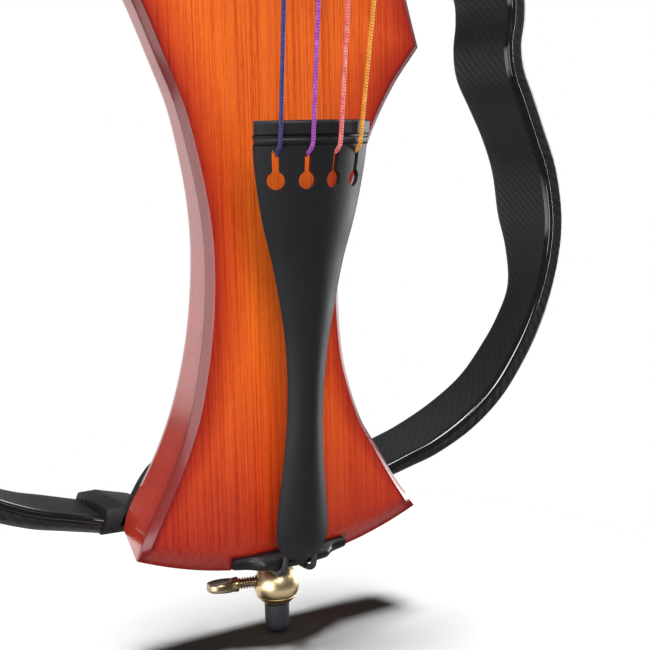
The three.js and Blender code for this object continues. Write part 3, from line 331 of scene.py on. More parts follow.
# ---------------------------------------------------------------- objects
def raw_object(name, shape):
    mesh = bpy.data.meshes.new(name)
    mesh.from_pydata([Vector(v) * MM for v in shape[0]], [], shape[1])
    obj = bpy.data.objects.new(name, mesh)
    bpy.context.scene.collection.objects.link(obj)
    return obj


def new_object(name, shape, *materials, face_material=None, rim=None, sharp=35):
    """A mesh in metres from a shape, smooth but for edges sharper than the angle."""
    obj = raw_object(name, shape)
    mesh = obj.data
    for m in materials:
        mesh.materials.append(m)
    if face_material:
        mesh.polygons.foreach_set("material_index", face_material)
    if len(shape) > 2:
        layer = mesh.uv_layers.new(name="place")
        for loop in mesh.loops:
            layer.data[loop.index].uv = shape[2][loop.vertex_index]
    if rim:
        mesh.attributes.new("rim", "FLOAT", "POINT").data.foreach_set("value", rim)
    tidy(obj, sharp)
    return obj


def tidy(obj, sharp=35):
    """Faces outwards, shading smooth, edges sharper than the angle kept crisp."""
    b = bmesh.new()
    b.from_mesh(obj.data)
    bmesh.ops.remove_doubles(b, verts=b.verts, dist=1e-7)
    bmesh.ops.recalc_face_normals(b, faces=b.faces)
    limit = math.radians(sharp)
    for f in b.faces:
        f.smooth = True
    for e in b.edges:
        e.smooth = not (len(e.link_faces) == 2 and e.calc_face_angle(0) > limit)
    b.to_mesh(obj.data)
    b.free()


def place(obj, node=None, body=ROOT):
    """obj rides on a CAD body and stands for a CAD node, whose own mesh it hides."""
    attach(obj, body)
    if node:
        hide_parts(node)


def add(name, shape, material, node=None, body=ROOT, sharp=35):
    place(new_object(name, shape, material, sharp=sharp), node, body)


def bevel(obj, width, cuts=3, angle=30):
    m = obj.modifiers.new("edges", "BEVEL")
    m.width, m.segments, m.limit_method = width * MM, cuts, "ANGLE"
    m.angle_limit = math.radians(angle)
    return obj


def cutter(shape):
    obj = raw_object("cutter", shape)
    tidy(obj)
    return obj


def carve(obj, *shapes, sharp=35):
    """Takes the shapes out of obj."""
    cutters = [cutter(shape) for shape in shapes]
    for tool in cutters:
        m = obj.modifiers.new("cut", "BOOLEAN")
        m.operation, m.solver, m.object = "DIFFERENCE", "EXACT", tool
    graph = bpy.context.evaluated_depsgraph_get()
    mesh = bpy.data.meshes.new_from_object(obj.evaluated_get(graph), depsgraph=graph)
    obj.modifiers.clear()
    obj.data = mesh
    tidy(obj, sharp)
    for tool in cutters:
        bpy.data.objects.remove(tool)
    return obj


# ---------------------------------------------------------------- material helpers
class Nodes:
    """A node tree, with short ways to add nodes to it."""

    def __init__(self, tree):
        self.tree = tree
        tree.nodes.clear()

    def put(self, node, inputs):
        for key, value in inputs.items():
            socket = node.inputs[key]
            if isinstance(value, bpy.types.NodeSocket):
                self.tree.links.new(value, socket)
            elif isinstance(value, tuple) and len(value) == 3 and socket.type == "RGBA":
                socket.default_value = (*value, 1)
            else:
                socket.default_value = value

    def add(self, kind, inputs=None, **settings):
        node = self.tree.nodes.new("ShaderNode" + kind)
        for key, value in settings.items():
            setattr(node, key, value)
        self.put(node, inputs or {})
        return node

    def math(self, operation, a, b=0.0):
        return self.add("Math", {0: a, 1: b}, operation=operation).outputs[0]

    def times(self, a, b):
        return self.math("MULTIPLY", a, b)

    def plus(self, a, b):
        return self.math("ADD", a, b)

    def wave(self, value, turns=TAU / 2):
        """One hump for each unit of value, or for each pi / turns of it."""
        return self.math("ABSOLUTE", self.math("SINE", self.times(value, turns)))

    def mix(self, factor, a, b, blend="MIX"):
        node = self.add("Mix", {0: factor}, data_type="RGBA", blend_type=blend)
        self.put(node, {6: a, 7: b})
        return node.outputs[2]

    def ramp(self, factor, *stops):
        node = self.add("ValToRGB", {0: factor})
        while len(node.color_ramp.elements) < len(stops):
            node.color_ramp.elements.new(0.5)
        for element, (position, colour) in zip(node.color_ramp.elements, stops):
            element.position = position
            element.color = (*colour, 1) if isinstance(colour, tuple) else (colour, colour, colour, 1)
        return node.outputs[0]

    def spread(self, value, low, high, to_low=0.0, to_high=1.0):
        return self.add("MapRange", {0: value, 1: low, 2: high, 3: to_low, 4: to_high}).outputs[0]


class Recipe(Nodes):
    """A material with one Principled shader."""

    def __init__(self, name, **settings):
        self.material = bpy.data.materials.new(name)
        self.material.use_nodes = True
        super().__init__(self.material.node_tree)
        self.shader = self.add("BsdfPrincipled")
        self.add("OutputMaterial", {0: self.shader.outputs[0]})
        self.set(**settings)

    def set(self, **settings):
        self.put(self.shader, {k.replace("_", " "): v for k, v in settings.items()})

    def where(self, scale=(1, 1, 1), shift=(0, 0, 0)):
        """Place in the row frame, in metres, stretched."""
        raw = self.add("TexCoord").outputs["Object"]
        return self.add("Mapping", {"Vector": raw, "Scale": scale, "Location": shift}).outputs[0]

    def noise(self, scale, detail=2.0, roughness=0.5, stretch=(1, 1, 1), shift=(0, 0, 0), distortion=0.0):
        return self.add("TexNoise", {"Vector": self.where(stretch, shift), "Scale": scale, "Detail": detail,
                                     "Roughness": roughness, "Distortion": distortion}).outputs[0]

    def bump(self, height, strength, distance):
        node = self.add("Bump", {"Height": height, "Strength": strength, "Distance": distance})
        self.set(Normal=node.outputs[0])

    def uv(self):
        """(round, along) places of a skin, in millimetres."""
        split = self.add("SeparateXYZ", {0: self.add("UVMap", uv_map="place").outputs[0]})
        return split.outputs[0], split.outputs[1]


def shaded(colour, share):
    return tuple(min(c * share, 1) for c in colour)


def varnished(name, centre, mid, edge, deep, grain=1.0, coat=0.35, roughness=0.3, flame=0.0, specular=0.5):
    """Stained, varnished wood: vertical year lines, short fibres and a stain that deepens to the rim; on the
    body the rim values also carry painted shade that darkens it towards the foot.
    """
    m = Recipe(name, Roughness=roughness, Coat_Weight=coat, Coat_Roughness=0.14, Specular_IOR_Level=specular)
    rim = m.add("Attribute", attribute_name="rim").outputs["Fac"]
    wander = m.noise(1.0, 3, 0.6, (14, 14, 5))
    loose = m.spread(rim, 0.004, 0.012)
    reach = m.plus(rim, m.times(loose, m.spread(wander, 0.2, 0.8, -0.007, 0.007)))
    # The rim values deepen the stain at the rim, which is real stain, and on the body towards the foot, which
    # is painted shade.
    stain = m.ramp(m.spread(reach, 0.0, 0.05), (0.075, deep), (0.12, edge), (0.34, mid), (0.74, centre))
    lines = m.ramp(m.noise(1000, 3, 0.7, (1, 1, 0.007)), (0.43, 0.0), (0.53, 0.35), (0.62, 1.0))
    fibre = m.noise(2100, 2, 0.65, (1, 1, 0.09))
    pores = m.ramp(m.noise(1500, 1, 0.5, (1, 1, 0.07)), (0.6, 0.0), (0.7, 1.0))
    dark = m.mix(1.0, stain, (0.6, 0.3, 0.24), "MULTIPLY")
    light = m.mix(1.0, stain, (1.25, 1.5, 1.3), "MULTIPLY")
    colour = m.mix(m.times(lines, 0.92 * grain), stain, dark)
    colour = m.mix(m.times(pores, 0.4 * grain), colour, dark)
    colour = m.mix(m.spread(fibre, 0.35, 0.75, 0.0, 0.42 * grain), colour, light)
    if flame:
        curl = m.noise(1.0, 2, 0.55, (30, 8, 95), distortion=0.4)
        colour = m.mix(m.spread(curl, 0.4, 0.65, 0.0, flame), colour, dark)
    cloud = m.noise(1.0, 2, 0.5, (22, 22, 12), (3, 1, 2))
    m.set(Base_Color=m.mix(m.spread(cloud, 0.35, 0.7, 0.0, 0.18), colour, dark),
          Roughness=m.spread(fibre, 0.2, 0.8, roughness - 0.05, roughness + 0.06))
    m.bump(m.plus(m.times(lines, 0.6), m.times(fibre, 0.5)), 0.12 * grain ** 2, 0.00012)
    return m.material


def plain(name, colour, roughness, metallic=0.0, coat=0.0, grit=2500, depth=0.00002, strength=0.15, vary=0.08,
          specular=0.5):
    """Moulded or cast surface: fine grit in its bump and slow changes in its gloss."""
    m = Recipe(name, Metallic=metallic, Coat_Weight=coat, Coat_Roughness=0.08, Specular_IOR_Level=specular)
    fine = m.noise(grit, 2, 0.6)
    broad = m.noise(60, 3, 0.6)
    m.set(Base_Color=m.mix(m.spread(fine, 0.3, 0.7), shaded(colour, 0.88), shaded(colour, 1.12)),
          Roughness=m.spread(broad, 0.3, 0.7, roughness - vary, roughness + vary))
    m.bump(fine, strength, depth)
    return m.material


def turned_metal(name, colour, roughness, axis=2):
    """Metal off a lathe: faint rings round one axis, and a little tarnish."""
    m = Recipe(name, Metallic=1.0, Anisotropic=0.35)
    stretch = [6.0, 6.0, 6.0]
    stretch[axis] = 9000.0
    rings = m.noise(1.0, 2, 0.6, tuple(stretch))
    tarnish = m.noise(180, 4, 0.65)
    m.set(Base_Color=m.mix(m.spread(tarnish, 0.4, 0.72, 0.0, 0.7), colour, shaded(colour, 0.78)),
          Roughness=m.spread(rings, 0.3, 0.7, roughness - 0.06, roughness + 0.08))
    m.bump(rings, 0.25, 0.00003)
    return m.material


def twill(name, dark, light, tow=1.5, gloss=False):
    """Carbon cloth, two over and two under, set by the skin's own (round, along) places; the tows on top one
    way are painted lighter than those the other way, as painted sheen.
    """
    m = Recipe(name, Specular_IOR_Level=0.5 if gloss else 0.32)
    cells, domes = [], []
    for place_in_tows in [m.math("DIVIDE", value, tow) for value in m.uv()]:
        cells.append(m.math("FLOOR", place_in_tows))
        part = m.math("FRACT", place_in_tows)
        domes.append(m.times(m.times(part, m.math("SUBTRACT", 1.0, part)), 4.0))
    over = m.math("LESS_THAN", m.math("FLOORED_MODULO", m.plus(*cells), 4.0), 2.0)
    height = m.plus(m.times(over, domes[0]), m.times(m.math("SUBTRACT", 1.0, over), domes[1]))
    patchy = m.noise(35, 3, 0.6)
    between = tuple((a + b) / 2 for a, b in zip(dark, light))
    # Painted sheen: the two tow directions take a darker and a lighter copy of the same black, standing in
    # for how the fibres catch the light.
    shade = m.mix(m.spread(patchy, 0.3, 0.7, 0.15, 0.85), m.mix(over, dark, light), between)
    if gloss:
        # Painted glints: tiny grey specks mixed into the colour stand in for the sparkle of the glossy coat.
        glint_cells = m.add("TexVoronoi", {"Vector": m.where(), "Scale": 1900.0}).outputs["Color"]
        glint = m.ramp(m.add("SeparateColor", {0: glint_cells}).outputs[0], (0.86, 0.0), (0.93, 1.0))
        shade = m.mix(m.times(glint, 0.05), shade, (0.35, 0.35, 0.38))
        m.set(Base_Color=shade, Roughness=0.34, Coat_Weight=0.2, Coat_Roughness=0.06)
        m.bump(height, 0.04, 0.00003)
    else:
        dull = m.plus(over, m.times(patchy, 0.4))
        m.set(Base_Color=shade, Roughness=m.spread(dull, 0.0, 1.4, 0.64, 0.5))
        m.bump(height, 0.2, 0.0001)
    return m.material


def silk(name, colour, pale):
    """Silk thread wound tightly round a string, a slanting line for each turn, darkened in the groove between
    turns as painted shade.
    """
    m = Recipe(name, Roughness=0.55, Sheen_Weight=0.25)
    u, v = m.uv()
    wave = m.wave(m.plus(m.times(v, 0.72), m.times(u, 0.145)))
    uneven = m.noise(420, 3, 0.7, (1, 1, 0.6))
    # Painted shade: the colour falls to about a fifth in the groove between turns.
    shade = m.mix(m.spread(wave, 0.1, 0.8), shaded(colour, 0.22), colour)
    m.set(Base_Color=m.mix(m.spread(uneven, 0.48, 0.72, 0.0, 0.7), shade, pale))
    m.bump(m.plus(wave, m.times(uneven, 0.6)), 0.7, 0.00025)
    return m.material


def wound_metal(name, colour):
    """Flat metal ribbon wound round a string."""
    m = Recipe(name, Metallic=1.0, Base_Color=colour)
    turn = m.wave(m.uv()[1], math.pi * 1.4)
    m.set(Roughness=m.spread(turn, 0.0, 1.0, 0.42, 0.26))
    m.bump(turn, 0.3, 0.00006)
    return m.material


def braided(name, colour, pitch=1.1):
    """Braided cord: two crossing slants, darkened where the strands dip as painted shade."""
    m = Recipe(name, Roughness=0.46, Specular_IOR_Level=0.5)
    u, v = m.uv()
    lines = [m.wave(m.plus(m.math("DIVIDE", v, pitch), m.times(u, slant))) for slant in (0.4, -0.4)]
    height = m.times(*lines)
    # Painted shade: the colour darkens where the strands dip between crossings.
    m.set(Base_Color=m.mix(height, shaded(colour, 0.6), colour))
    m.bump(height, 0.15, 0.0001)
    return m.material


def open_wood(name, pale, dark, line_scale=700.0, roughness=0.5, along_z=0.02):
    """Bare or oiled wood with its grain along Z."""
    m = Recipe(name, Specular_IOR_Level=0.4)
    lines = m.noise(line_scale, 4, 0.65, (1, 1, along_z))
    flecks = m.noise(900, 2, 0.6, (1, 1, 0.2))
    shade = m.mix(m.spread(lines, 0.35, 0.7), pale, dark)
    m.set(Base_Color=m.mix(m.ramp(flecks, (0.62, 0.0), (0.7, 0.6)), shade, shaded(dark, 0.6)),
          Roughness=m.spread(lines, 0.3, 0.7, roughness - 0.06, roughness + 0.08))
    m.bump(lines, 0.15, 0.00008)
    return m.material


SPRUCE = varnished("spruce_varnish", (0.78, 0.135, 0.013), (0.58, 0.062, 0.009), (0.36, 0.019, 0.006),
                   (0.16, 0.0025, 0.003), coat=0.7, roughness=0.34, specular=0.3)
MAPLE = varnished("maple_varnish", (0.4, 0.03, 0.008), (0.38, 0.025, 0.008), (0.35, 0.02, 0.007),
                  (0.3, 0.014, 0.006), grain=0.55, coat=1.0, roughness=0.26, flame=0.3, specular=0.3)
NECK_WOOD = varnished("neck_varnish", (0.42, 0.075, 0.02), (0.4, 0.06, 0.018), (0.36, 0.045, 0.016),
                      (0.3, 0.03, 0.013), grain=0.5, coat=0.4, roughness=0.34, flame=0.35)
EBONY = open_wood("ebony", (0.02, 0.018, 0.017), (0.009, 0.008, 0.008), roughness=0.38)
BARE_MAPLE = open_wood("bare_maple", (0.72, 0.5, 0.27), (0.6, 0.37, 0.17), line_scale=420, along_z=1.0)
SATIN_BLACK = plain("satin_composite", (0.012, 0.012, 0.0145), 0.46, specular=0.25, grit=5200,
                    depth=0.00001, vary=0.04)
SADDLE_BLACK = plain("saddle_black", (0.008, 0.008, 0.009), 0.38, grit=3000, strength=0.05, specular=0.32)
GLOSS_BLACK = plain("gloss_black", (0.006, 0.006, 0.007), 0.16, coat=0.5, grit=900, strength=0.05)
RUBBER = plain("rubber", (0.025, 0.024, 0.031), 0.55, grit=3000, strength=0.3, depth=0.00004, specular=0.35)
ANODISED = plain("black_anodised", (0.022, 0.022, 0.025), 0.36, metallic=0.6, grit=4000, vary=0.05)
STEEL = turned_metal("steel", (0.62, 0.62, 0.64), 0.26, axis=1)
BRASS = turned_metal("brass", (0.95, 0.75, 0.43), 0.31)
BRASS_SIDE = turned_metal("brass_side", (0.5, 0.38, 0.24), 0.27, axis=0)
CARBON_MATT = twill("carbon_matt", (0.007, 0.007, 0.008), (0.0135, 0.0135, 0.015))
CARBON_GLOSS = twill("carbon_gloss", (0.004, 0.004, 0.005), (0.02, 0.02, 0.022), tow=1.7, gloss=True)
LACQUER = plain("black_lacquer", (0.004, 0.004, 0.005), 0.1, coat=1.0, grit=300, strength=0.03)
CORD_BLACK = braided("black_cord", (0.03, 0.03, 0.034))
CELL = plain("battery_case", (0.1, 0.105, 0.11), 0.4, metallic=0.5, grit=2200)
BOARD_GREEN = plain("solder_mask", (0.012, 0.11, 0.045), 0.32, coat=0.3, grit=700, strength=0.2)
BONE = plain("bone", (0.78, 0.72, 0.58), 0.36, grit=800, vary=0.05)
SILKS = {
    "c": silk("silk_indigo", (0.014, 0.01, 0.15), (0.06, 0.05, 0.26)),
    "g": silk("silk_purple", (0.36, 0.04, 0.46), (0.62, 0.2, 0.68)),
    "d": silk("silk_pink", (0.88, 0.13, 0.13), (0.97, 0.42, 0.38)),
    "a": silk("silk_orange", (0.9, 0.32, 0.006), (1.0, 0.55, 0.06)),
}
WINDING = wound_metal("string_winding", (0.55, 0.56, 0.58))


# ---------------------------------------------------------------- body
def body_stations(lower=110, upper=70):
    """(left z, right z, left half-width, right half-width), close together at the foot."""
    foot, top = (BODY["bottom_corner_z"],) * 2, (BODY["top_z"],) * 2
    corners = (BODY["left_corner_z"], BODY["right_corner_z"])
    made = []
    for parts, power, low, high, left, right in (
            (steps(lower), 1.35, foot, corners, LEFT_LOWER, RIGHT_LOWER),
            (steps(upper)[1:], 1.2, corners, top, LEFT_UPPER, RIGHT_UPPER)):
        for t in parts:
            lz, rz = [lerp(a, b, t ** power) for a, b in zip(low, high)]
            made.append((lz, rz, along(left, lz), along(right, rz)))
    return made


def body_point(station, side, y):
    lz, rz, left, right = station
    share = (side + 1) / 2
    height = lerp(lz, rz, share)
    reach = clamp(1 - (height - BODY["bottom_corner_z"]) / BODY["sag_reach"])
    sag = BODY["bottom_sag"] * (1 - side * side) * reach * reach
    return Vector((lerp(-left, right, share), y, height - sag))


def sides_by_inset(station, insets, inner=17):
    """Sides from -1 to 1: close to each edge at the given insets in mm, evenly between them."""
    width = station[2] + station[3]
    edge = [-1 + 2 * d / width for d in insets]
    middle = [lerp(edge[-1], -edge[-1], t) for t in steps(inner + 1)[1:-1]]
    return [*edge, *middle, *[-s for s in reversed(edge)]]


FOOT_STATION = body_stations(1, 1)[0]


def stain_and_falloff_reach(station, side):
    """How far the stain takes a point to be from the body's edge, in metres, including painted shade that
    darkens it towards the foot.
    """
    near = (1 - abs(side)) * lerp(station[2] + station[3], STAIN_WIDTH, 0.55) / 2
    rise = body_point(station, side, 0).z - body_point(FOOT_STATION, side, 0).z
    # Besides the side rims, the cap grows with height above the foot, so the stain darkens towards the
    # bottom: painted shade for light falling off downwards.
    return max(min(near, 4 + rise * 0.26), 0.0) * MM


def core_back_y(point, side):
    edge = along(BACK_EDGE_Y, point.z)
    return edge + (BODY["back_y"] - edge) * (1 - side * side) ** 0.6


def body_core():
    rings, rim = [], []
    for station in body_stations():
        heel = clamp(1 - (station[0] - BODY["bottom_corner_z"]) / BODY["heel_reach"]) ** 2
        sides = sides_by_inset(station, [0, 0.25, 0.8, 1.8, 3.5, 6])
        front = [body_point(station, s, BODY["core_front_y"]) for s in sides]
        back = []
        for s in reversed(sides):
            p = body_point(station, s, 0)
            p.y = core_back_y(p, s)
            p.x *= 1 - BODY["heel_inset"] * heel
            p.z += BODY["heel_lift"] * heel
            back.append(p)
        near = [stain_and_falloff_reach(station, s) for s in sides]
        rim += [*near, *RIB_RIM, *reversed(near), *RIB_RIM]
        left = [front[0].lerp(back[-1], t) for t in (0.9, 0.6, 0.3)]
        right = [front[-1].lerp(back[0], t) for t in (0.3, 0.6, 0.9)]
        rings.append([*front, *right, *back, *left])
    core = new_object("back_and_ribs", loft(rings), MAPLE, rim=rim, sharp=50)
    rod_bore, sleeve_bore = rod((0, 0, 30), (0, 0, 426), 5.6), rod((0, 0, 30), (0, 0, 101.3), 10.3, 48)
    bay, pad = box((-25, -3, 444), (25, 30, 596)), box((-30.3, 17, 433.7), (30.3, 30, 606.3))
    carve(core, rod_bore, sleeve_bore, bay, pad, sharp=50)
    place(core, "body_core")


def top_plate():
    rings, rim = [], []
    for station in body_stations():
        rise = clamp(1 - (station[0] - BODY["bottom_corner_z"]) / BODY["roll_reach"])
        roll = BODY["roll_depth"] * rise ** 2
        width = station[2] + station[3]
        sides = sides_by_inset(station, [0, 0.12, 0.5, 3.55, 4.0, 4.5, 7, 11], 25)
        front = []
        for s in sides:
            inset = (1 - abs(s)) * width / 2
            outwards = min(abs(s) / (1 - 2 * BODY["bevel"] / width), 1)
            crown = lerp(BODY["front_y"], BODY["shoulder_y"], outwards ** 2) + roll
            slope = lerp(BODY["rim_y"], BODY["shoulder_y"] + roll, clamp((inset - 0.12) / 3.7))
            round_rim = 0.35 * (1 - clamp(inset / 0.5)) ** 2
            y = max(crown, slope) + (0.12 if abs(inset - BODY["bevel"]) < 0.1 else 0)
            front.append(body_point(station, s, min(y, BODY["rim_y"]) + round_rim))
        back = [body_point(station, s, BODY["plate_back_y"]) for s in reversed(sides)]
        rings.append(front + back)
        rim += [*[stain_and_falloff_reach(station, s) for s in sides], *[0.0] * len(back)]
    board = new_object("soundboard", loft(rings), SPRUCE, rim=rim, sharp=24)
    notch_x = SADDLE_HALF + 0.05
    carve(board, box((-notch_x, -40, 20), (notch_x, 0, SADDLE_TOP + 0.05)), sharp=24)
    place(board, "top_plate")


def build_saddle():
    """Bar that rises in the middle, where the tail cord crosses it."""
    table = [(0, 1), (17.5, 1), (19, 0.97), (21.5, 0.62), (24, 0.22), (27, 0.05), (33, 0)]
    rings = []
    for x in steps(96, -SADDLE_HALF, SADDLE_HALF):
        rise = clamp(along(table, abs(x)))
        foot = 41.4 + BODY["bottom_sag"] * (x / 80) ** 2
        inset = 0.08 * ease((abs(x) - 32.6) / 0.4)
        points = [(BODY["plate_back_y"], SADDLE_TOP - inset), (-17.4 - 1.2 * rise, SADDLE_TOP - inset),
                  (-18.4 - 4.2 * rise, 48.6 - rise), (-18.6 - 5.2 * rise, lerp(46.5, 45.6, rise)),
                  (-17.6 - 5 * rise + inset, foot + 0.9), (-16 - 4 * rise, foot + inset), (-14, foot + inset),
                  (BODY["plate_back_y"], foot + inset)]
        rings.append([(x, y, z) for y, z in rounded_loop(points, 0.8, 3)])
    add("saddle_block", loft(rings), SADDLE_BLACK, "saddle", sharp=40)


# ---------------------------------------------------------------- endpin
def ball_arc(low, high, count):
    return [(math.sqrt(BALL_R ** 2 - (z - BALL_Z) ** 2), z) for z in steps(count, low, high)]


def build_endpin():
    tip = rounded([(0, 0.05), (3.4, 0.05), (4.9, 0.7), (5.9, 2.1), (6.4, 4), (6.62, 6.8), (6.62, 15.15),
                   (5.2, 15.15), (5.2, 2.7), (0, 2.7)], 0.5, 3)
    add("rubber_tip", lathe(tip, 72)[:2], RUBBER, "endpin_tip", "endpin")
    shaft = rounded([(0, 3), (ROD_R, 3), (ROD_R, 420), (0, 420)], 0.6, 3)
    add("carbon_rod", lathe(shaft, 48), CARBON_GLOSS, "endpin_rod", "endpin")
    arc = ball_arc(15.6, SPLIT_Z - 0.45, 10)
    cap = [(BORE_R, 15.6), *arc, (arc[-1][0] - 0.25, SPLIT_Z - 0.2), (BORE_R, SPLIT_Z - 0.2)]
    add("collar_ring", lathe(cap, 96, True)[:2], BRASS, "endpin_collar_cap")
    neck_z = BALL_Z + math.sqrt(BALL_R ** 2 - NECK_R ** 2)
    arc = ball_arc(SPLIT_Z + 0.55, neck_z - 0.3, 28)
    ball = [(BORE_R, SPLIT_Z + 0.25), (arc[0][0] - 0.3, SPLIT_Z + 0.25), *arc, (NECK_R + 0.05, neck_z + 0.3),
            (NECK_R, 41.2), (8.1, 41.3), (8.2, 41.5), (8.2, 84), (BORE_R, 84)]
    collar = new_object("collar_ball", lathe(ball, 96, True)[:2], BRASS)
    carve(collar, moved(rod((-2, 0, 0), (-20, 0, 0), 3.4, 40), ("Z", -SCREW_SWING), at=(0, 0, SCREW_Z)))
    place(collar, "endpin_collar")
    sleeve = rounded([(8.5, 47), (10, 47), (10, 101), (8.5, 101)], 0.3, 2)
    add("socket_sleeve", lathe(sleeve, 64, True)[:2], SATIN_BLACK, "endpin_bushing")


def threaded(radius, depth, pitch, start, end, sides=40, per_turn=14):
    """Screw thread along +Z."""
    rings = []
    for z in steps(int((end - start) / pitch * per_turn), start, end):
        core = radius - 0.35 * (1 - clamp(min(z - start, end - z) / 0.6))
        teeth = [abs(((z / pitch - i / sides) % 1) - 0.5) * 2 for i in range(sides)]
        reach = [core - depth * clamp(tooth * 1.7 - 0.35) for tooth in teeth]
        rings.append([(r * x, r * y, z) for r, (x, y) in zip(reach, circle(1, sides))])
    return loft(rings)


def build_thumbscrew():
    """Threaded stem along -X with a spade head whose two faces are sunk."""
    spin, at = (("X", -SCREW_TILT), ("Z", -SCREW_SWING)), (0, 0, SCREW_Z)
    hub = rounded([(0, 21.4), (4.0, 21.4), (4.1, 22.2), (3.5, 25.2), (0, 25.4)], 0.4, 3)
    stem = joined(threaded(3.1, 0.95, 1.5, 5.9, 22.4), lathe(hub, 48))
    add("thumbscrew_stem", moved(stem, ("Y", -90), *spin, at=at), BRASS_SIDE, None, "thumbscrew")
    outline = [(0.6, 3.0, 3.2), (2.2, 4.1, 3.1), (4.4, 5.7, 2.95), (7.5, 6.9, 2.75), (10, 7.1, 2.6),
               (12.5, 6.6, 2.4), (14.6, 5.4, 2.25), (15.8, 3.9, 2.1), (16.2, 3.0, 2.0)]
    rings = []
    for k, (x, half, thick) in enumerate(outline):
        sunk, inner = (0.75, 0.72) if 1 < k < len(outline) - 2 else (0.0, 0.5)
        floor = sunk / thick - 1
        section = [(-1, -0.45), (-0.93, -0.95), (-inner - 0.1, -1), (-inner, floor), (0, floor),
                   (inner, floor), (inner + 0.1, -1), (0.93, -0.95), (1, -0.45)]
        section += [(a, -b) for a, b in reversed(section)]
        rings.append([(SCREW_HEAD_X - x, a * half, b * thick) for a, b in section])
    head = new_object("thumbscrew_head", moved(loft(rings), *spin, at=at), BRASS_SIDE, sharp=70)
    m = head.modifiers.new("smooth", "SUBSURF")
    m.levels = m.render_levels = 2
    place(head, "endpin_thumbscrew", "thumbscrew")


# ---------------------------------------------------------------- tailpiece and tail cord
def tail_crown_y(x, z):
    side = clamp(x / along(TAIL_HALF, z), -1, 1)
    return lerp(along(TAIL_CROWN_Y, z), along(TAIL_EDGE_Y, z), side * side)


def tail_ridge(z):
    """Raised end band, with a thin bead under it that the strings bend over."""
    band = 1.5 * ease((z - 263.9) / 0.8) * (1 - 0.45 * ease((z - 269.6) / 1.3))
    return max(band, 1.15 * hump((z - 261.2) / 1.75))


def keyhole_slope(x):
    return (tail_crown_y(x + 1, KEYHOLE_Z) - tail_crown_y(x - 1, KEYHOLE_Z)) / 2


def behind_slot(x, depth, z):
    return Vector((x - keyhole_slope(x) * depth, tail_crown_y(x, SLOT_TOP) + depth, z))


def keyhole(x):
    """Round hole with a slot above it, square to the arched surface."""
    start = math.asin(SLOT_HALF / KEYHOLE_R)
    outline = [(KEYHOLE_R * math.cos(a), KEYHOLE_R * math.sin(a))
               for a in steps(40, math.pi / 2 + start, math.pi / 2 - start + TAU)]
    top = SLOT_TOP - KEYHOLE_Z - SLOT_HALF
    outline += [(SLOT_HALF * math.cos(a), top + SLOT_HALF * math.sin(a)) for a in steps(8, 0, math.pi)]
    turn = Vector((0, -1, 0)).rotation_difference(Vector((keyhole_slope(x), -1, 0)).normalized())
    at = Vector((x, tail_crown_y(x, KEYHOLE_Z + 5), KEYHOLE_Z))
    verts, faces = prism(outline, -12, 12)
    return [turn @ v + at for v in verts], faces


def build_tailpiece():
    heights = [47.5, 47.7, 48.1, 48.6, 49.4, 50.4, 51.8, 53.5, 55.5, 58, 61, 64]
    heights += steps(56, 67, 258) + steps(52, 258.6, 270.6) + [270.85, TAIL_TOP]
    sides = [-1, -0.995, -0.98, -0.95] + steps(26, -0.9, 0.9) + [0.95, 0.98, 0.995, 1]
    rings = []
    for z in heights:
        half, edge = along(TAIL_HALF, z), along(TAIL_EDGE_Y, z)
        rise = 0.5 * (1 - hump(1 - clamp((TAIL_TOP - z) / 0.5))) - tail_ridge(z)
        front, back = [], []
        for s in sides:
            to_edge = clamp((abs(s) - TAIL_ROUND) / (1 - TAIL_ROUND))
            y = tail_crown_y(s * half, z) + rise
            y = lerp(y, min(y, edge - 0.6 + rise), to_edge)
            front.append((s * half, y + 0.55 * (1 - hump(to_edge)), z))
        for s in reversed(sides[::2]):
            inner = tail_crown_y(s * half, z) + TAIL_SHELL * (1 - 0.45 * s * s)
            back.append((s * half * 0.97, min(inner, edge + 0.9), z))
        rings.append(front + back)
    blade = new_object("tailpiece_blade", loft(rings), SATIN_BLACK, sharp=38)
    carve(blade, *[keyhole(s["tail"]) for s in STRINGS], sharp=38)
    place(blade, "tailpiece")


def build_tailgut():
    """One loop of cord: up over the saddle on both sides and round the neck of the collar."""
    loop_z, loop_r = 38.9, NECK_R + CORD_R + 0.3
    strand = [(6.2, -26.6, 66), (6.4, -26.5, 60), (7.2, -26.6, 53), (8.2, -26.4, 48), (8.7, -26, 45),
              (9, -24.6, 41.6), (9, -21.5, 39.6), (8.9, -17, loop_z), (8.9, -8, loop_z)]
    turn = [(loop_r * math.cos(a), loop_r * math.sin(a), loop_z) for a in steps(8, 0, math.pi)]
    path = spline([*strand, *turn, *[(-x, y, z) for x, y, z in reversed(strand)]], 150)
    add("tail_cord", tube(path, CORD_R, 18), CORD_BLACK, "tailgut")


# ---------------------------------------------------------------- strings
def pegbox_front_y(z):
    return lerp(-7.2, 12, (z - NUT_Z) / 130)


def pegbox_back_y(z):
    return lerp(9, 42, (z - NUT_Z) / 130)


def peg_axis_y(z):
    return (pegbox_front_y(z) + pegbox_back_y(z)) / 2


def nut_y(x):
    return -21.4 + x * x / 110


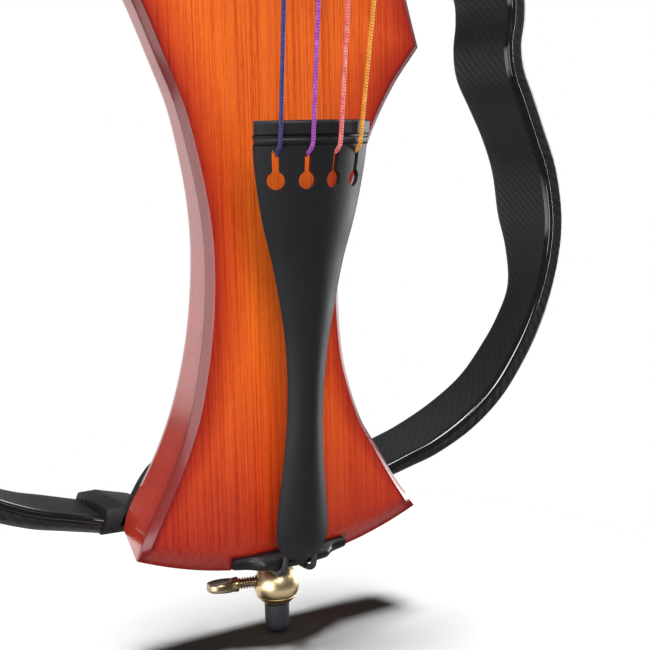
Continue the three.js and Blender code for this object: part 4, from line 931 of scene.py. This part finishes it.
def build_string(s):
    """Silk at the tailpiece, bare winding over the bridge to the nut, silk down to the drum, and the ball."""
    name, x, r, peg_z = s["name"], s["tail"], s["r"], s["peg_z"]
    thread = SILKS[name]
    mouth = behind_slot(x, 0.2, SLOT_TOP - 1.5)
    ridge = tail_crown_y(x, 266) - 1.6 - SILK_R - 0.1
    silk_end = (lerp(x, s["bridge"], 0.9), lerp(ridge, s["bridge_y"], 0.9), 380)
    over = (x, lerp(mouth.y, ridge, 0.8), SLOT_TOP + 1.6)
    path = rounded([behind_slot(x, 4.2, SLOT_TOP - 2.6), mouth, over, (x, ridge, 264), silk_end], 2.2, 5)
    dense = [path[0]]
    for a, b in zip(path, path[1:]):
        dense += [a.lerp(b, t) for t in steps(max(1, int((b - a).length / 1.2)))[1:]]
    draw = random.Random(ord(name))
    loose = [SILK_R * (1 + 0.035 * draw.uniform(-1, 1)) * 0.97 for _ in dense]
    add("silk_" + name, tube(dense, loose, 14), thread)
    crossing = (s["bridge"], s["bridge_y"])
    on_nut = (s["nut"], nut_y(s["nut"]) - r - 0.3)
    bare = rounded([silk_end, (*crossing, BRIDGE_Z - 0.8), (*crossing, BRIDGE_Z + 0.8), (*on_nut, NUT_Z + 1)],
                   2.0, 3)
    add("string_wire_" + name, tube(bare, r, 14), WINDING, "string_" + name)
    drum = (-s["side"] * 3.5 + s["nut"] * 0.35, peg_axis_y(peg_z) - 4 - r - 0.3)
    end = rounded([(*on_nut, NUT_Z + 1), (*on_nut, NUT_Z + 6.5), (*drum, peg_z - 3), (*drum, peg_z + 1.5)],
                  2.5, 4)
    add("silk_peg_end_" + name, tube(end, r * 1.08, 12), thread)
    half = [(2.2, 0.6), (2.6, 1.7), (1.9, 2.6), (0, 2.6)]
    ball = rounded([(radius, -h) for radius, h in reversed(half)] + half, 0.3, 3)
    at = behind_slot(x, 7, SLOT_TOP + 0.8)
    add("ball_end_" + name, moved(lathe(ball, 32), ("Y", 90), at=at), BRASS, "string_ball_" + name)


# ---------------------------------------------------------------- carbon frame
def band_section(h, back_y):
    """(across, y, finish) from the inner side round to the outer one: a bead at the front inner edge, a
    groove beside it, a flat front face and a full outer corner."""
    front = BAND_FRONT_Y
    made = [(-0.4 * h, back_y, 0), (-0.75 * h, back_y - 0.4, 0), (-0.93 * h, back_y - 1.6, 0),
            (-h, back_y - 4, 0)]
    made += [(-h, lerp(back_y - 4, front + 5.0, t), 0) for t in (0.25, 0.5, 0.75)]
    made.append((-h, front + 4.6, 1))
    for a in steps(10, math.radians(180), math.radians(20)):
        made.append((-h + 2.0 + 2.0 * math.cos(a), front + 2.05 - 2.0 * math.sin(a), 1))
    made += [(-h + 4.3, front + 1.3, 2), (-h + 5.2, front + 0.95, 2), (-h + 6.2, front + 0.7, 2),
             (0.12 * h, front + 0.6, 2)]
    for a in steps(12, math.radians(95), math.radians(4)):
        made.append((h - 5.0 + 5.0 * math.cos(a), front + 6.6 - 6.0 * math.sin(a), 2))
    made += [(h, lerp(front + 6.8, back_y - 4, t), 2) for t in (0.15, 0.2, 0.5, 0.8)]
    return made + [(0.99 * h, back_y - 3.4, 2), (0.92 * h, back_y - 1.6, 2), (0.7 * h, back_y - 0.4, 0),
                   (0.4 * h, back_y, 0)]


BAND_CURVE = spline(BAND_PATH, 360)


def band_frame(i):
    """A point of the right band's path, its heading and its outward direction."""
    ahead = BAND_CURVE[min(i + 1, len(BAND_CURVE) - 1)] - BAND_CURVE[max(i - 1, 0)]
    ahead.y = 0
    ahead.normalize()
    return BAND_CURVE[i], ahead, Vector((ahead.z, 0, -ahead.x))


def build_band(side):
    rings, last = [], len(BAND_CURVE) - 1
    for i in range(last + 1):
        spot, _, outward = band_frame(i)
        section = band_section(along(BAND_HALF, i / last), spot.y)
        rings.append([(side * (spot.x + outward.x * a), y, spot.z + outward.z * a) for a, y, _ in section])
    shape = loft(rings)
    finishes = [section[f[0] % len(section)][2] if len(f) == 4 else 2 for f in shape[1]]
    hand = "right" if side > 0 else "left"
    band = new_object("carbon_band_" + hand, shape, CARBON_MATT, LACQUER, CARBON_GLOSS,
                      face_material=finishes, sharp=60)
    place(band, "frame_band_" + hand)


# ---------------------------------------------------------------- bridge and its pickup
def oval(x, h, half_x, half_h, count=40):
    return [(x + half_x * a, h + half_h * b) for a, b in circle(1, count)]


def heart(h, size):
    made = []
    for a in steps(60, 0, TAU)[:-1]:
        x = 16 * math.sin(a) ** 3
        y = 13 * math.cos(a) - 5 * math.cos(2 * a) - 2 * math.cos(3 * a) - math.cos(4 * a)
        made.append((x * size / 16, h + y * size / 16))
    return made


def build_bridge():
    arch = spline([(0, 17), (10, 16), (18, 11.5), (23, 4.5), (25, 0)], 22)
    leg = spline([(BRIDGE_FOOT_X, 0), (44.2, 3.4), (37.5, 6.2), (34, 11), (34.4, 17), (38.5, 21.6),
                  (39.7, 25.6), (36, 28.8), (31.8, 33), (30.5, 42), (30, 52), (28.5, 56.2)], 70)
    crest = spline([(28.5, 56.2), (19, 59.9), (9, 62.1), (0, 62.7)], 16)
    half = [*arch, *leg, *crest[1:]]
    outline = half + [(-x, h) for x, h in reversed(half[1:-1])]
    rings = [[(x, BRIDGE_BASE_Y - h, BRIDGE_Z + face * lerp(4.5, 1.3, clamp(h / BRIDGE_TALL)))
              for x, h in outline] for face in (-1, 1)]
    bridge = new_object("bridge_maple", loft(rings), BARE_MAPLE, sharp=30)
    through = (BRIDGE_Z - 9, BRIDGE_Z + 9)
    tools = [loft([[(x, BRIDGE_BASE_Y - h, z) for x, h in hole] for z in through])
             for hole in (heart(37.5, 7.2), oval(-21.5, 34, 4.6, 8.5), oval(21.5, 34, 4.6, 8.5))]
    tools += [rod(*[(t["bridge"], t["bridge_y"], z) for z in through], t["r"] + 0.25, 24) for t in STRINGS]
    carve(bridge, *tools, sharp=30)
    bevel(bridge, 0.45, 2, 40)
    place(bridge, "bridge")


def build_pickup():
    strip = box((-BRIDGE_FOOT_X, -19.7, 388), (BRIDGE_FOOT_X, -17.7, 398))
    add_bevelled("pickup_strip", strip, GLOSS_BLACK, "bridge_pickup", 0.6, 3, 30)
    path = spline([(20, -17.3, 393), (20, -12, 394.5), (20, -4, 406), (20, 2, 424), (20, 5, 450)], 60)
    add("pickup_wire", tube(path, LEAD_R, 14), CORD_BLACK, "pickup_lead")


# ---------------------------------------------------------------- neck, fingerboard and nut
def board_share(z):
    return (BOARD["top_z"] - z) / (BOARD["top_z"] - BOARD["bottom_z"])


def board_crown_y(z):
    return lerp(BOARD["nut_crown_y"], BOARD["end_crown_y"], board_share(z))


def board_drop(z):
    return lerp(4, 8, board_share(z))


def board_back_y(z):
    return board_crown_y(z) + board_drop(z) + 6


def build_fingerboard():
    end = BOARD["bottom_z"]
    rings = []
    for z in (end, end + 0.5, *steps(40, end + 2, BOARD["top_z"] - 1), BOARD["top_z"]):
        half = lerp(NUT_HALF, 30.5, board_share(z))
        inset = 0.4 * (1 - clamp((z - end) / 0.5))
        front = board_crown_y(z) + inset
        outline = [(half * t * (1 - inset / half), front + board_drop(z) * t * t) for t in steps(30, -1, 1)]
        back = board_back_y(z) - inset
        hollow = 2.6 * clamp((NECK_HEEL_Z - 6 - z) / 40)
        under = [(half * 0.98 * t, back - hollow * clamp((0.86 - abs(t)) / 0.3)) for t in steps(14, 1, -1)]
        rings.append([(x, y, z) for x, y in rounded_loop(outline + under, 0.5, 2)])
    add("fingerboard_ebony", loft(rings), EBONY, "fingerboard", sharp=50)


def build_nut():
    z, back = NUT_Z + 0.3, board_back_y(NUT_Z)
    rings = []
    for x in steps(124, -NUT_HALF, NUT_HALF):
        notch = max(hump((x - t["nut"]) / (t["r"] + 0.25)) for t in STRINGS)
        front = nut_y(x) + 0.05 + notch + 0.5 * (1 - hump(clamp((abs(x) - 14.9) / 0.6)))
        rings.append([(x, back, z), (x, front + 0.9, z), (x, front + 0.15, z + 1), (x, front, z + 2.2),
                      (x, front + 0.5, z + 4.2), (x, front + 1.8, z + 5.8), (x, back, z + 6)])
    add("nut_bone", loft(rings), BONE, "nut", sharp=50)


def pegbox_half(z):
    return along([(1096, 19), (1150, 17.5), (1200, 15.2), (1228, 14.5)], z)


def neck_blade():
    halves = [(800, 30.5), (806, 30), (814, 27.5), (823, 24.5), (834, 22.5), (848, 21.4), (870, 20.7),
              (950, 18.8), (1040, 16.6), (1086, 15.9)]
    backs = [(800, 20), (806, 20), (814, 17.5), (823, 11), (834, 3), (848, -2.2), (870, -5), (950, -1.5),
             (1040, 3.4), (1086, 7)]
    rings = []
    for z in [800, *steps(34, 801, 872), *steps(40, 876, 1078), 1082, 1087, 1092]:
        at = min(z, 1086)
        half, back, front = along(halves, at), along(backs, at), board_back_y(at) + 0.3
        rings.append([(-half * math.cos(a), lerp(front, back, max(math.sin(a), 0) ** 0.75), z)
                      for a in steps(28, 0, math.pi)])
    return loft(rings)


def pegbox_solid():
    rings = []
    for z in [1084, 1085, 1087, *steps(44, 1090, 1226), 1228]:
        half = pegbox_half(z) if z > 1096 else lerp(15.9, 19, ease((z - 1084) / 12))
        front, back = pegbox_front_y(z), pegbox_back_y(z)
        right = [(half - 0.9, front), (half, front + 0.9), (half, back - 6), (half - 0.8, back - 3.3),
                 (half - 2.6, back - 1.2), (half - 5.4, back)]
        outline = [(0.9 - half, front), *right, *[(-x, y) for x, y in reversed(right[1:])]]
        rings.append([(x, y, z) for x, y in outline])
    return loft(rings)


def scroll_solid():
    """Spiral that tightens from the back of the pegbox to its eye, stepping outwards as it goes in. Each
    section runs from the fluted back, over the outer edge and its chamfer, down the hollowed side to the turn
    inside it."""
    count, turns, start = 190, 2.15, math.radians(-78)
    rings = []
    for i in range(count + 1):
        share = i / count
        angle = start + share * turns * TAU
        later = share + 1 / turns
        outer, half = scroll_reach(share), scroll_half(share)
        inner = scroll_reach(later) if later < 1 else 0.0
        side_in = scroll_half(later) if later < 1 else half + 0.8
        gap = outer - inner
        flute = min(1.3, outer * 0.07)
        profile = [(outer, 0), (outer - flute * 0.7, half * 0.22), (outer - flute, half * 0.45),
                   (outer - flute * 0.5, half * 0.72), (outer, half * 0.9), (outer - 0.15, half * 0.97),
                   (outer - 0.9, half)]
        for t in (0.12, 0.3, 0.5, 0.7, 0.88):
            hollow = math.sin(math.pi * t ** 0.8) * min(2.4, gap * 0.16)
            profile.append((outer - 0.9 - (gap - 0.9) * t, lerp(half, side_in, t ** 3 * 0.25) - hollow))
        profile.append((max(inner - 0.2, 0.05), half))
        ring = profile + [(r, -x) for r, x in reversed(profile[1:])]
        rings.append([(x, SCROLL_Y + r * math.cos(angle), SCROLL_Z + r * math.sin(angle)) for r, x in ring])
    return loft(rings)


def scroll_reach(share):
    return 34 * (6 / 34) ** share


def scroll_half(share):
    return lerp(14.5, 29, share ** 1.1)


def build_neck():
    neck = new_object("neck_and_scroll", pegbox_solid()[:2], NECK_WOOD, sharp=50)
    well = []
    for z in steps(16, 1104, 1198):
        half, floor = pegbox_half(z) - PEG_WALL, pegbox_back_y(z) - 6
        right = [(half, -30), (half, floor - 1.5), (half - 1.5, floor)]
        outline = [(-half, -30), *right, *[(-x, y) for x, y in reversed(right[1:])]]
        well.append([(x, y, z) for x, y in outline])
    tools = [loft(well)]
    for t in STRINGS:
        y, z, side = peg_axis_y(t["peg_z"]), t["peg_z"], t["side"]
        tools += [rod((0, y, z), (side * 30, y, z), 7.25, 40), rod((0, y, z), (-side * 30, y, z), 4.25, 32)]
    carve(neck, *tools, sharp=50)
    dome = [(6, 26.5), (5.2, 28.2), (3, 29.2), (0, 29.4)]
    dome = rounded([(r, -h) for r, h in reversed(dome)] + dome, 0.8, 4)
    eye = moved(lathe(dome, 48), ("Y", 90), at=(0, SCROLL_Y, SCROLL_Z))
    rest = raw_object("rest", joined(neck_blade(), scroll_solid(), eye))
    b = bmesh.new()
    b.from_mesh(neck.data)
    b.from_mesh(rest.data)
    b.to_mesh(neck.data)
    b.free()
    bpy.data.meshes.remove(rest.data)
    tidy(neck, 42)
    layer = neck.data.attributes.new("rim", "FLOAT", "POINT")
    layer.data.foreach_set("value", [0.02] * len(neck.data.vertices))
    place(neck, "neck")


# ---------------------------------------------------------------- tuning pegs
def build_peg(item):
    """A housing in the wall, a head outside it and the winding drum across the pegbox."""
    name, side, z = item["name"], item["side"], item["peg_z"]
    turn, at = ("Y", 90 * side), (0, peg_axis_y(z), z)
    wall, inner = pegbox_half(z - 9), pegbox_half(z) - PEG_WALL
    shell = [(3.3, inner), (7, inner), (7, wall + 0.3), (9, wall + 0.3), (8.9, wall + 1.6), (8.2, wall + 3),
             (3.3, wall + 3)]
    housing = moved(ring_lathe(shell, 64, 0.35, 3), turn, at=at)
    add("peg_shell_" + name, housing, ANODISED, "peg_housing_" + name)
    start, root = wall + 3.4, inner + 1
    spindle = rounded([(0, root), (3, root), (3, start), (7.6, start), (8, start + 1.5), (6.2, start + 3.5),
                       (4.6, start + 7), (4.4, start + 12), (0, start + 12)], 0.6, 4)
    outline = [(7.5, 4.0), (8.6, 4.7), (10.5, 7.2), (13, 9.6), (16, 11.6), (19, 12.6), (22.5, 12.8),
               (26, 12.1), (29, 10.3), (31, 8.3), (32.6, 5.6), (33.4, 3.2), (33.7, 1.2)]
    leaf = []
    for rise, half in outline:
        thick = along([(7.5, 3.6), (13, 4.6), (19, 4.9), (26, 4.2), (31, 3.2), (33.7, 1.6)], rise)
        ring = []
        for wide, deep in circle(1, 36):
            waist = 1 - 0.24 * (1 - abs(wide)) ** 1.2 if half > 6 else 1
            ring.append((math.copysign(abs(deep) ** 0.75, deep) * thick * waist, wide * half, start + rise))
        leaf.append(ring)
    knob = rounded([(0, start + 32.4), (2.5, start + 32.6), (2.9, start + 34), (2.2, start + 35.8),
                    (0, start + 36.5)], 0.7, 4)
    head = moved(joined(lathe(spindle, 56), loft(leaf), lathe(knob, 32)), turn, at=at)
    add("peg_" + name, head, EBONY, "peg_head_" + name, "peg_" + name, sharp=50)
    low, high = pegbox_half(z) - 7.3, 0.5 - pegbox_half(z)
    profile = [(0, low), (3.9, low), (3.95, low - 0.5)]
    for t in steps(16, low - 4, 0):
        profile += [(3.95, t), (3.65, t - 0.35)]
    profile += [(3.95, -2), (3.95, high + 0.4), (3.6, high), (0, high)]
    shape = lathe([(r, -h if side < 0 else h) for r, h in profile], 40)
    drum = new_object("winding_drum_" + name, moved(shape, ("Y", 90), at=at), ANODISED)
    carve(drum, moved(rod((-side * 3.5, 0, -6), (-side * 3.5, 0, 6), 0.9, 20), at=at))
    place(drum, "peg_drum_" + name, "drum_" + name)


# ---------------------------------------------------------------- mounts that join the bands to the body
def mount_ring(spot, outward, back_y, h):
    """Section of a cross bar, rounded front and back."""
    front, middle = MOUNT_FRONT_Y, (MOUNT_FRONT_Y + back_y) / 2
    half = [(0.4, back_y), (0.9, back_y - 1.6), (1, middle), (1, front + 2.6), (0.55, front)]
    outline = [*[(-a * h, y) for a, y in reversed(half)], *[(a * h, y) for a, y in half]]
    outline = rounded_loop(outline, 1.2, 3)
    return [Vector((spot.x + outward.x * a, y, spot.z + outward.z * a)) for a, y in outline]


def band_end(side, last, rise=0.0):
    spot, ahead, outward = band_frame(len(BAND_CURVE) - 1 if last else 0)
    at = spot + ahead * (0.3 if last else -0.3) - outward * rise
    ring = mount_ring(at, outward, spot.y, along(BAND_HALF, 1 if last else 0) + rise)
    return [Vector((side * p.x, p.y, p.z)) for p in ring]


def resampled(stops, count):
    """Rows of numbers, smoothly joined."""
    keys = [float(i) for i in range(len(stops))]
    columns = [list(zip(keys, column)) for column in zip(*stops)]
    return [[along(column, t) for column in columns] for t in steps(count, 0, len(stops) - 1)]


def build_mounts():
    stops = [(-76, 66, 69.5, 7), (-60, 66, 66, 6), (-40, 65, 62, 5), (40, 65, 61, 5), (70, 66, 63.5, 5)]
    down = Vector((0, 0, -1))
    between = [mount_ring(Vector((x, 0, z)), down, y, h) for x, y, z, h in resampled(stops, 44)]
    flange = [(-80, 66), (-75, 76), (-67, 89), (-61, 96), (-54, 99.5), (-46, 100.5), (47, 100.5), (54, 98.5),
              (59, 94), (66, 84), (76, 72), (80, 66)]
    build_mount("lower", [band_end(-1, False, 2.2), *between, band_end(1, False)], flange)
    left, right = band_end(-1, True), band_end(1, True)
    bar = [[a.lerp(b, t) for a, b in zip(left, right)] for t in steps(10)]
    build_mount("upper", bar, [(-19, 758), (19, 758), (20, 762), (20, 787), (-20, 787), (-20, 762)])


def build_mount(name, bar_rings, outline):
    """Cross bar, and the flange that two screws hold to the body."""
    bar = new_object(name + "_bar", loft(bar_rings), CARBON_MATT, sharp=50)
    ring = rounded([*outline, outline[0]], 3.5, 5)
    middle = sum(ring, Vector((0, 0))) / len(ring)
    rings = []
    for shrink, rise in ((0.4, 0), (0, 0.5), (0, 3.4), (0.6, 4)):
        rings.append([(middle.x + (x - middle.x) * (1 - shrink / 60), MOUNT_FRONT_Y + rise,
                       middle.y + (z - middle.y) * (1 - shrink / 20)) for x, z in ring])
    flange = new_object(name + "_flange", loft(rings), CARBON_MATT, sharp=50)
    spots = [spot for key, spot in FRAME_SCREWS.items() if key.startswith(name)]
    carve(flange, *[rod((x, 10, z), (x, 40, z), 2.4) for x, z in spots], sharp=50)
    layer = flange.data.uv_layers["place"]
    for loop in flange.data.loops:
        at = flange.data.vertices[loop.vertex_index].co
        layer.data[loop.index].uv = (at.x / MM, (at.z + at.y) / MM)
    place(flange)
    place(bar, f"frame_{name}_mount")


def build_screw(node, x, z, seat, shank, head, length, socket):
    """Button-head screw facing +Y with a hexagon socket, or a cross recess where socket is nought."""
    dome = [(0, -length), (shank * 0.8, -length), (shank, -length + 0.8), (shank, 0.3), (head, 0.3),
            (head, 0.7), (head * 0.9, 1.35), (head * 0.62, 2.05), (head * 0.3, 2.35), (0, 2.4)]
    shape = moved(lathe(rounded(dome, 0.25, 3), 48), ("X", -90), at=(x, seat, z))
    obj = new_object("screw_" + node, shape, STEEL)
    if socket:
        tools = [prism([(x + a, z + b) for a, b in circle(socket, 6)], seat + 1, seat + 4)]
    else:
        tools = [box((x - a, seat + 1.2, z - c), (x + a, seat + 4, z + c))
                 for a, c in ((1.6, 0.35), (0.35, 1.6))]
    carve(obj, *tools)
    place(obj, node)


# ---------------------------------------------------------------- electronics in the back
def add_bevelled(name, shape, material, node, width, cuts=2, angle=50, body=ROOT, holes=(), corner=0):
    """A piece whose edges along Y are rounded, then its holes cut, then every edge bevelled."""
    obj = new_object(name, shape, material)
    if corner:
        b = bmesh.new()
        b.from_mesh(obj.data)
        edges = [e for e in b.edges if abs(e.verts[0].co.y - e.verts[1].co.y) > 1e-5]
        bmesh.ops.bevel(b, geom=edges, offset=corner * MM, segments=6, profile=0.5, affect="EDGES")
        b.to_mesh(obj.data)
        b.free()
    if holes:
        carve(obj, *holes)
    bevel(obj, width, cuts, angle)
    place(obj, node, body)


def hinge_rod(low, high, radius, sides=32):
    return rod((low, HINGE_Y, HINGE_Z), (high, HINGE_Y, HINGE_Z), radius, sides)


def hole_through(x, z, radius, sides=32):
    return rod((x, 10, z), (x, 30, z), radius, sides)


def build_electronics():
    back = PLATE_BACK
    holes = [box((-16.4, 10, 447.6), (16.4, 30, 510.4)), box((11.6, 10, 582.6), (16.4, 30, 593.4))]
    holes += [hole_through(-CONTROL_X, z, 3.3) for _, z in KNOBS]
    holes += [hole_through(CONTROL_X, z, r + 0.3) for _, z, _, r in JACKS]
    holes += [hole_through(0, z, 1.7, 24) for z in PLATE_SCREWS.values()]
    add_bevelled("rear_plate", box((-30, back - 2.5, 434), (30, back, 606)), ANODISED, "control_plate", 0.35,
                 holes=holes, corner=3)
    for hand, low, high in (("left", -15, -9.4), ("right", 9.4, 15)):
        lug = joined(hinge_rod(low, high, HINGE_R), box((low, back - 0.5, 443.8), (high, HINGE_Y, 446.2)))
        add_bevelled("hinge_lug_" + hand, lug, ANODISED, None, 0.2, 2, 60)
    ribs = [box((-11, back - 0.5, z), (11, back + 1, z + 1.3)) for z in steps(6, 492, 503)]
    add_bevelled("door_panel", box((-16, back - 2.2, 448), (16, back, 510)), SATIN_BLACK, None, 0.3,
                 body="battery_door", holes=ribs, corner=1.6)
    hinge = joined(hinge_rod(-9, 9, HINGE_R), box((-9, back + 0.4, 445), (9, 22.6, 450.5)),
                   box((-9, back - 0.6, 448), (9, 22.4, 450.5)),
                   box((-5, back - 0.5, 505), (5, back + 1.4, 507.5)))
    add_bevelled("door_hinge", hinge, SATIN_BLACK, "battery_door", 0.25, body="battery_door")
    add_bevelled("hinge_pin", hinge_rod(-15, 15, 0.8, 24), STEEL, "battery_door_pin", 0.2)
    add_bevelled("block_battery", box((-13.2, -2.4, 452), (13.2, 15, 498)), CELL, "battery", 1.2, 3, 30)
    for kind, x, r in (("small", -6.3, 2.9), ("large", 6.3, 3.6)):
        snap = rounded([(0, 497.8), (r, 497.8), (r, 499.4), (r - 0.6, 500.5), (0, 500.3)], 0.3, 3)
        add("snap_" + kind, moved(lathe(snap, 40), at=(x, 6, 0)), STEEL)
    sheet = box((-23, -1.4, 520), (23, 0.2, 594))
    add_bevelled("board_sheet", sheet, BOARD_GREEN, "circuit_board", 0.3, 2, 30)
    blocks = [box((-19, 0.1, z - 5), (-9, 7.2, z + 5)) for _, z in KNOBS]
    blocks.append(box((10, 0.1, 581), (18, 9, 593)))
    blocks += [box((2 + 5 * i, 0.1, 526 + 9 * j), (5.5 + 5 * i, 2.2, 528 + 9 * j))
               for i in range(3) for j in range(2)]
    add_bevelled("board_blocks", joined(*blocks), SATIN_BLACK, None, 0.4, 2, 30)
    for name, z in KNOBS:
        build_knob(name, z)
    grips = [box((12, back + 1.4, z), (16, back + 3, z + 0.5)) for z in (584.5, 585.75, 587)]
    cap = box((12.4, 9.6, 583.6), (15.6, back + 1.8, 588.4))
    add_bevelled("switch_cap", cap, SATIN_BLACK, "power_switch", 0.3, body="power_switch", holes=grips)
    for name, z, inner, outer in JACKS:
        build_jack(name, z, inner, outer)


def build_knob(name, z, ridges=36):
    """Tapered knob with a grooved skirt and a pale pointer line."""
    depth = PLATE_BACK - 8
    rings = []
    for r, h in [(0.4, -depth), (3, -depth), (3, 0.5), (7.2, 0.5), (7.5, 0.8), (7.5, 1.8), (7.2, 2.3),
                 (6.9, 7.4), (6.6, 8.1), (5.9, 8.7), (5.0, 9.0), (0.4, 9.0)]:
        radii = [r, r - (0.4 if 2.2 < h < 8.2 and r > 6 else 0.0)] * ridges
        rings.append([(reach * x, reach * y, h) for reach, (x, y) in zip(radii, circle(1, 2 * ridges))])
    skin = moved(loft(rings), ("X", -90), at=(-CONTROL_X, PLATE_BACK, z))
    add("knob_" + name, skin, SATIN_BLACK, name, name, sharp=40)
    line = box((-14.35, PLATE_BACK + 8.85, z + 1.5), (-13.65, PLATE_BACK + 9.05, z + 5.4))
    add_bevelled("pointer_" + name, line, BONE, None, 0.08, 2, 30, name)


def build_jack(name, z, inner, outer):
    """Threaded socket with a hexagon nut and a washer."""
    rim = outer + 2
    sleeve = [(inner, -16), (outer, -16), (outer, 0.5), (outer, 2.0), (outer - 0.4, 2.2), (inner + 0.3, 2.2),
              (inner, 1.9)]
    hexagon = circle(rim, 6)
    hexagon = rounded_loop(hexagon, 0.5, 3)
    nut = [[(x * scale, y * scale, h) for x, y in hexagon]
           for scale, h in ((0.97, 0.9), (1, 1.05), (1, 1.75), (0.95, 1.95))]
    nut += [[(*(p.normalized() * outer * 0.99), h) for p in hexagon] for h in (1.95, 0.9)]
    washer = rounded([(outer, 0.3), (rim, 0.3), (rim, 0.85), (outer, 0.85), (outer, 0.3)], 0.15, 2)
    parts = joined(ring_lathe(sleeve, 48, 0.2, 2), loft([*nut, nut[0]], caps=False),
                   lathe(washer[:-1], 48, True))
    add("socket_" + name, moved(parts, ("X", -90), at=(CONTROL_X, PLATE_BACK, z)), STEEL, name, sharp=30)


# ---------------------------------------------------------------- stage
def linked(name, data):
    obj = bpy.data.objects.new(name, data)
    bpy.context.scene.collection.objects.link(obj)
    return obj


def build_camera():
    data = bpy.data.cameras.new("camera")
    data.sensor_width, data.lens = 36, 68.19
    cam = linked("camera", data)
    at, aim = Vector((-0.3003, -0.5612, 0.2617)), Vector((0.03425, 0, 0.16332))
    back = (at - aim).normalized()
    right = Vector((0, 0, 1)).cross(back).normalized()
    level = Matrix((right, back.cross(right), back)).transposed().to_4x4()
    cam.matrix_world = Matrix.Translation(at) @ level @ Matrix.Rotation(math.radians(-1.3), 4, "Z")
    bpy.context.scene.camera = cam


def area_light(name, at, aim, size, power, size_y=None):
    data = bpy.data.lights.new(name, "AREA")
    data.shape, data.size, data.size_y, data.energy = "RECTANGLE", size, size_y or size, power
    obj = linked(name, data)
    obj.location = at
    obj.rotation_euler = (Vector(at) - Vector(aim)).to_track_quat("Z", "Y").to_euler()
    return obj


def overhead(name, energy, spread):
    sun = bpy.data.lights.new(name, "SUN")
    sun.energy, sun.angle = energy, math.radians(spread)
    return linked(name, sun)


def light_group(name, members):
    group = bpy.data.collections.new(name)
    bpy.context.scene.collection.children.link(group)
    for member in members:
        group.objects.link(member)
    return group


def build_floor(level, reach=0.27):
    """A small pale disc that the varnish doesn't mirror from further than a few centimetres."""
    mesh = bpy.data.meshes.new("floor")
    rim = [(reach * math.cos(a), reach * math.sin(a), level) for a in steps(96, 0, TAU)[:-1]]
    mesh.from_pydata(rim, [], [tuple(range(96))])
    floor = linked("floor", mesh)
    pale = Recipe("floor_paint", Base_Color=(0.22, 0.22, 0.22), Roughness=0.85, Specular_IOR_Level=0.0)
    ray = pale.add("LightPath").outputs
    far_gloss = pale.times(ray["Is Glossy Ray"], pale.spread(ray["Ray Length"], 0.05, 0.1))
    pale.set(Alpha=pale.math("SUBTRACT", 1, far_gloss))
    mesh.materials.append(pale.material)
    floor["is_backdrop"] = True
    return floor


def build_stage():
    low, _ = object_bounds()
    floor = build_floor(low.z - 0.0004)
    build_world()
    boxes = [
        area_light("low_left_box", (-1.25, -0.55, 0.06), (0, 0, 0.08), 1.1, 11, size_y=0.9),
        area_light("front_box", (-0.5, -1.75, 1.6), (0, 0, 0.35), 1.1, 50),
        area_light("right_box", (1.3, -0.5, 1.2), (0.05, 0, 0.3), 0.7, 12, size_y=1.2),
        area_light("right_strip", (1.4, 0.15, 0.25), (0.2, 0, 0.25), 0.35, 10, size_y=0.9),
        overhead("overhead", 3.3, 30),
    ]
    pieces = list(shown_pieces())
    lit = light_group("lit_by_boxes", pieces)
    for lamp in boxes:
        lamp.light_linking.receiver_collection = lit
    floor_lamp = overhead("floor_lamp", 17, 22)
    floor_lamp.light_linking.receiver_collection = light_group("lit_floor", [floor])
    slim = [piece for piece in pieces if not piece.name.startswith(("carbon_band", "lower_", "upper_"))]
    floor_lamp.light_linking.blocker_collection = light_group("shading_floor", slim)
    bpy.context.scene.view_settings.view_transform = "Standard"


def build_world():
    """White to the camera; as light, a pale sweep behind the object under a dim ceiling, and a dim front."""
    world = bpy.data.worlds.new("studio")
    bpy.context.scene.world = world
    world.use_nodes = True
    n = Nodes(world.node_tree)
    way = n.add("SeparateXYZ", {0: n.add("TexCoord").outputs["Generated"]}).outputs
    zones = []
    for axis, low, high, at_low, at_high in ((2, -0.03, 0.1, 1.0, 0.0), (2, -0.42, -0.2, 0.0, 1.0),
                                             (1, -0.3, 0.1, 0.0, 1.0)):
        zone = n.add("MapRange", {0: way[axis], 1: low, 2: high, 3: at_low, 4: at_high},
                     interpolation_type="SMOOTHSTEP")
        zones.append(zone.outputs[0])
    sweep = n.times(n.times(zones[0], zones[1]), zones[2])
    lit = n.add("Background", {0: (1, 1, 1), 1: n.spread(sweep, 0.0, 1.0, 0.1, 1.45)})
    seen = n.add("Background", {0: (1, 1, 1), 1: 1.0})
    to_camera = n.add("LightPath").outputs["Is Camera Ray"]
    pick = n.add("MixShader", {0: to_camera, 1: lit.outputs[0], 2: seen.outputs[0]})
    n.add("OutputWorld", {0: pick.outputs[0]})


build_camera()
body_core()
top_plate()
build_saddle()
build_endpin()
build_thumbscrew()
build_tailpiece()
build_tailgut()
for item in STRINGS:
    build_string(item)
for way in (-1, 1):
    build_band(way)
build_bridge()
build_pickup()
build_fingerboard()
build_nut()
build_neck()
for item in STRINGS:
    build_peg(item)
build_mounts()
for key, (screw_x, screw_z) in FRAME_SCREWS.items():
    build_screw("frame_screw_" + key, screw_x, screw_z, MOUNT_FRONT_Y + 4, 2, 4.2, 16, 1.7)
for key, screw_z in PLATE_SCREWS.items():
    build_screw("plate_screw_" + key, 0, screw_z, PLATE_BACK, 1.4, 2.8, 10, 0)
build_electronics()
build_stage()
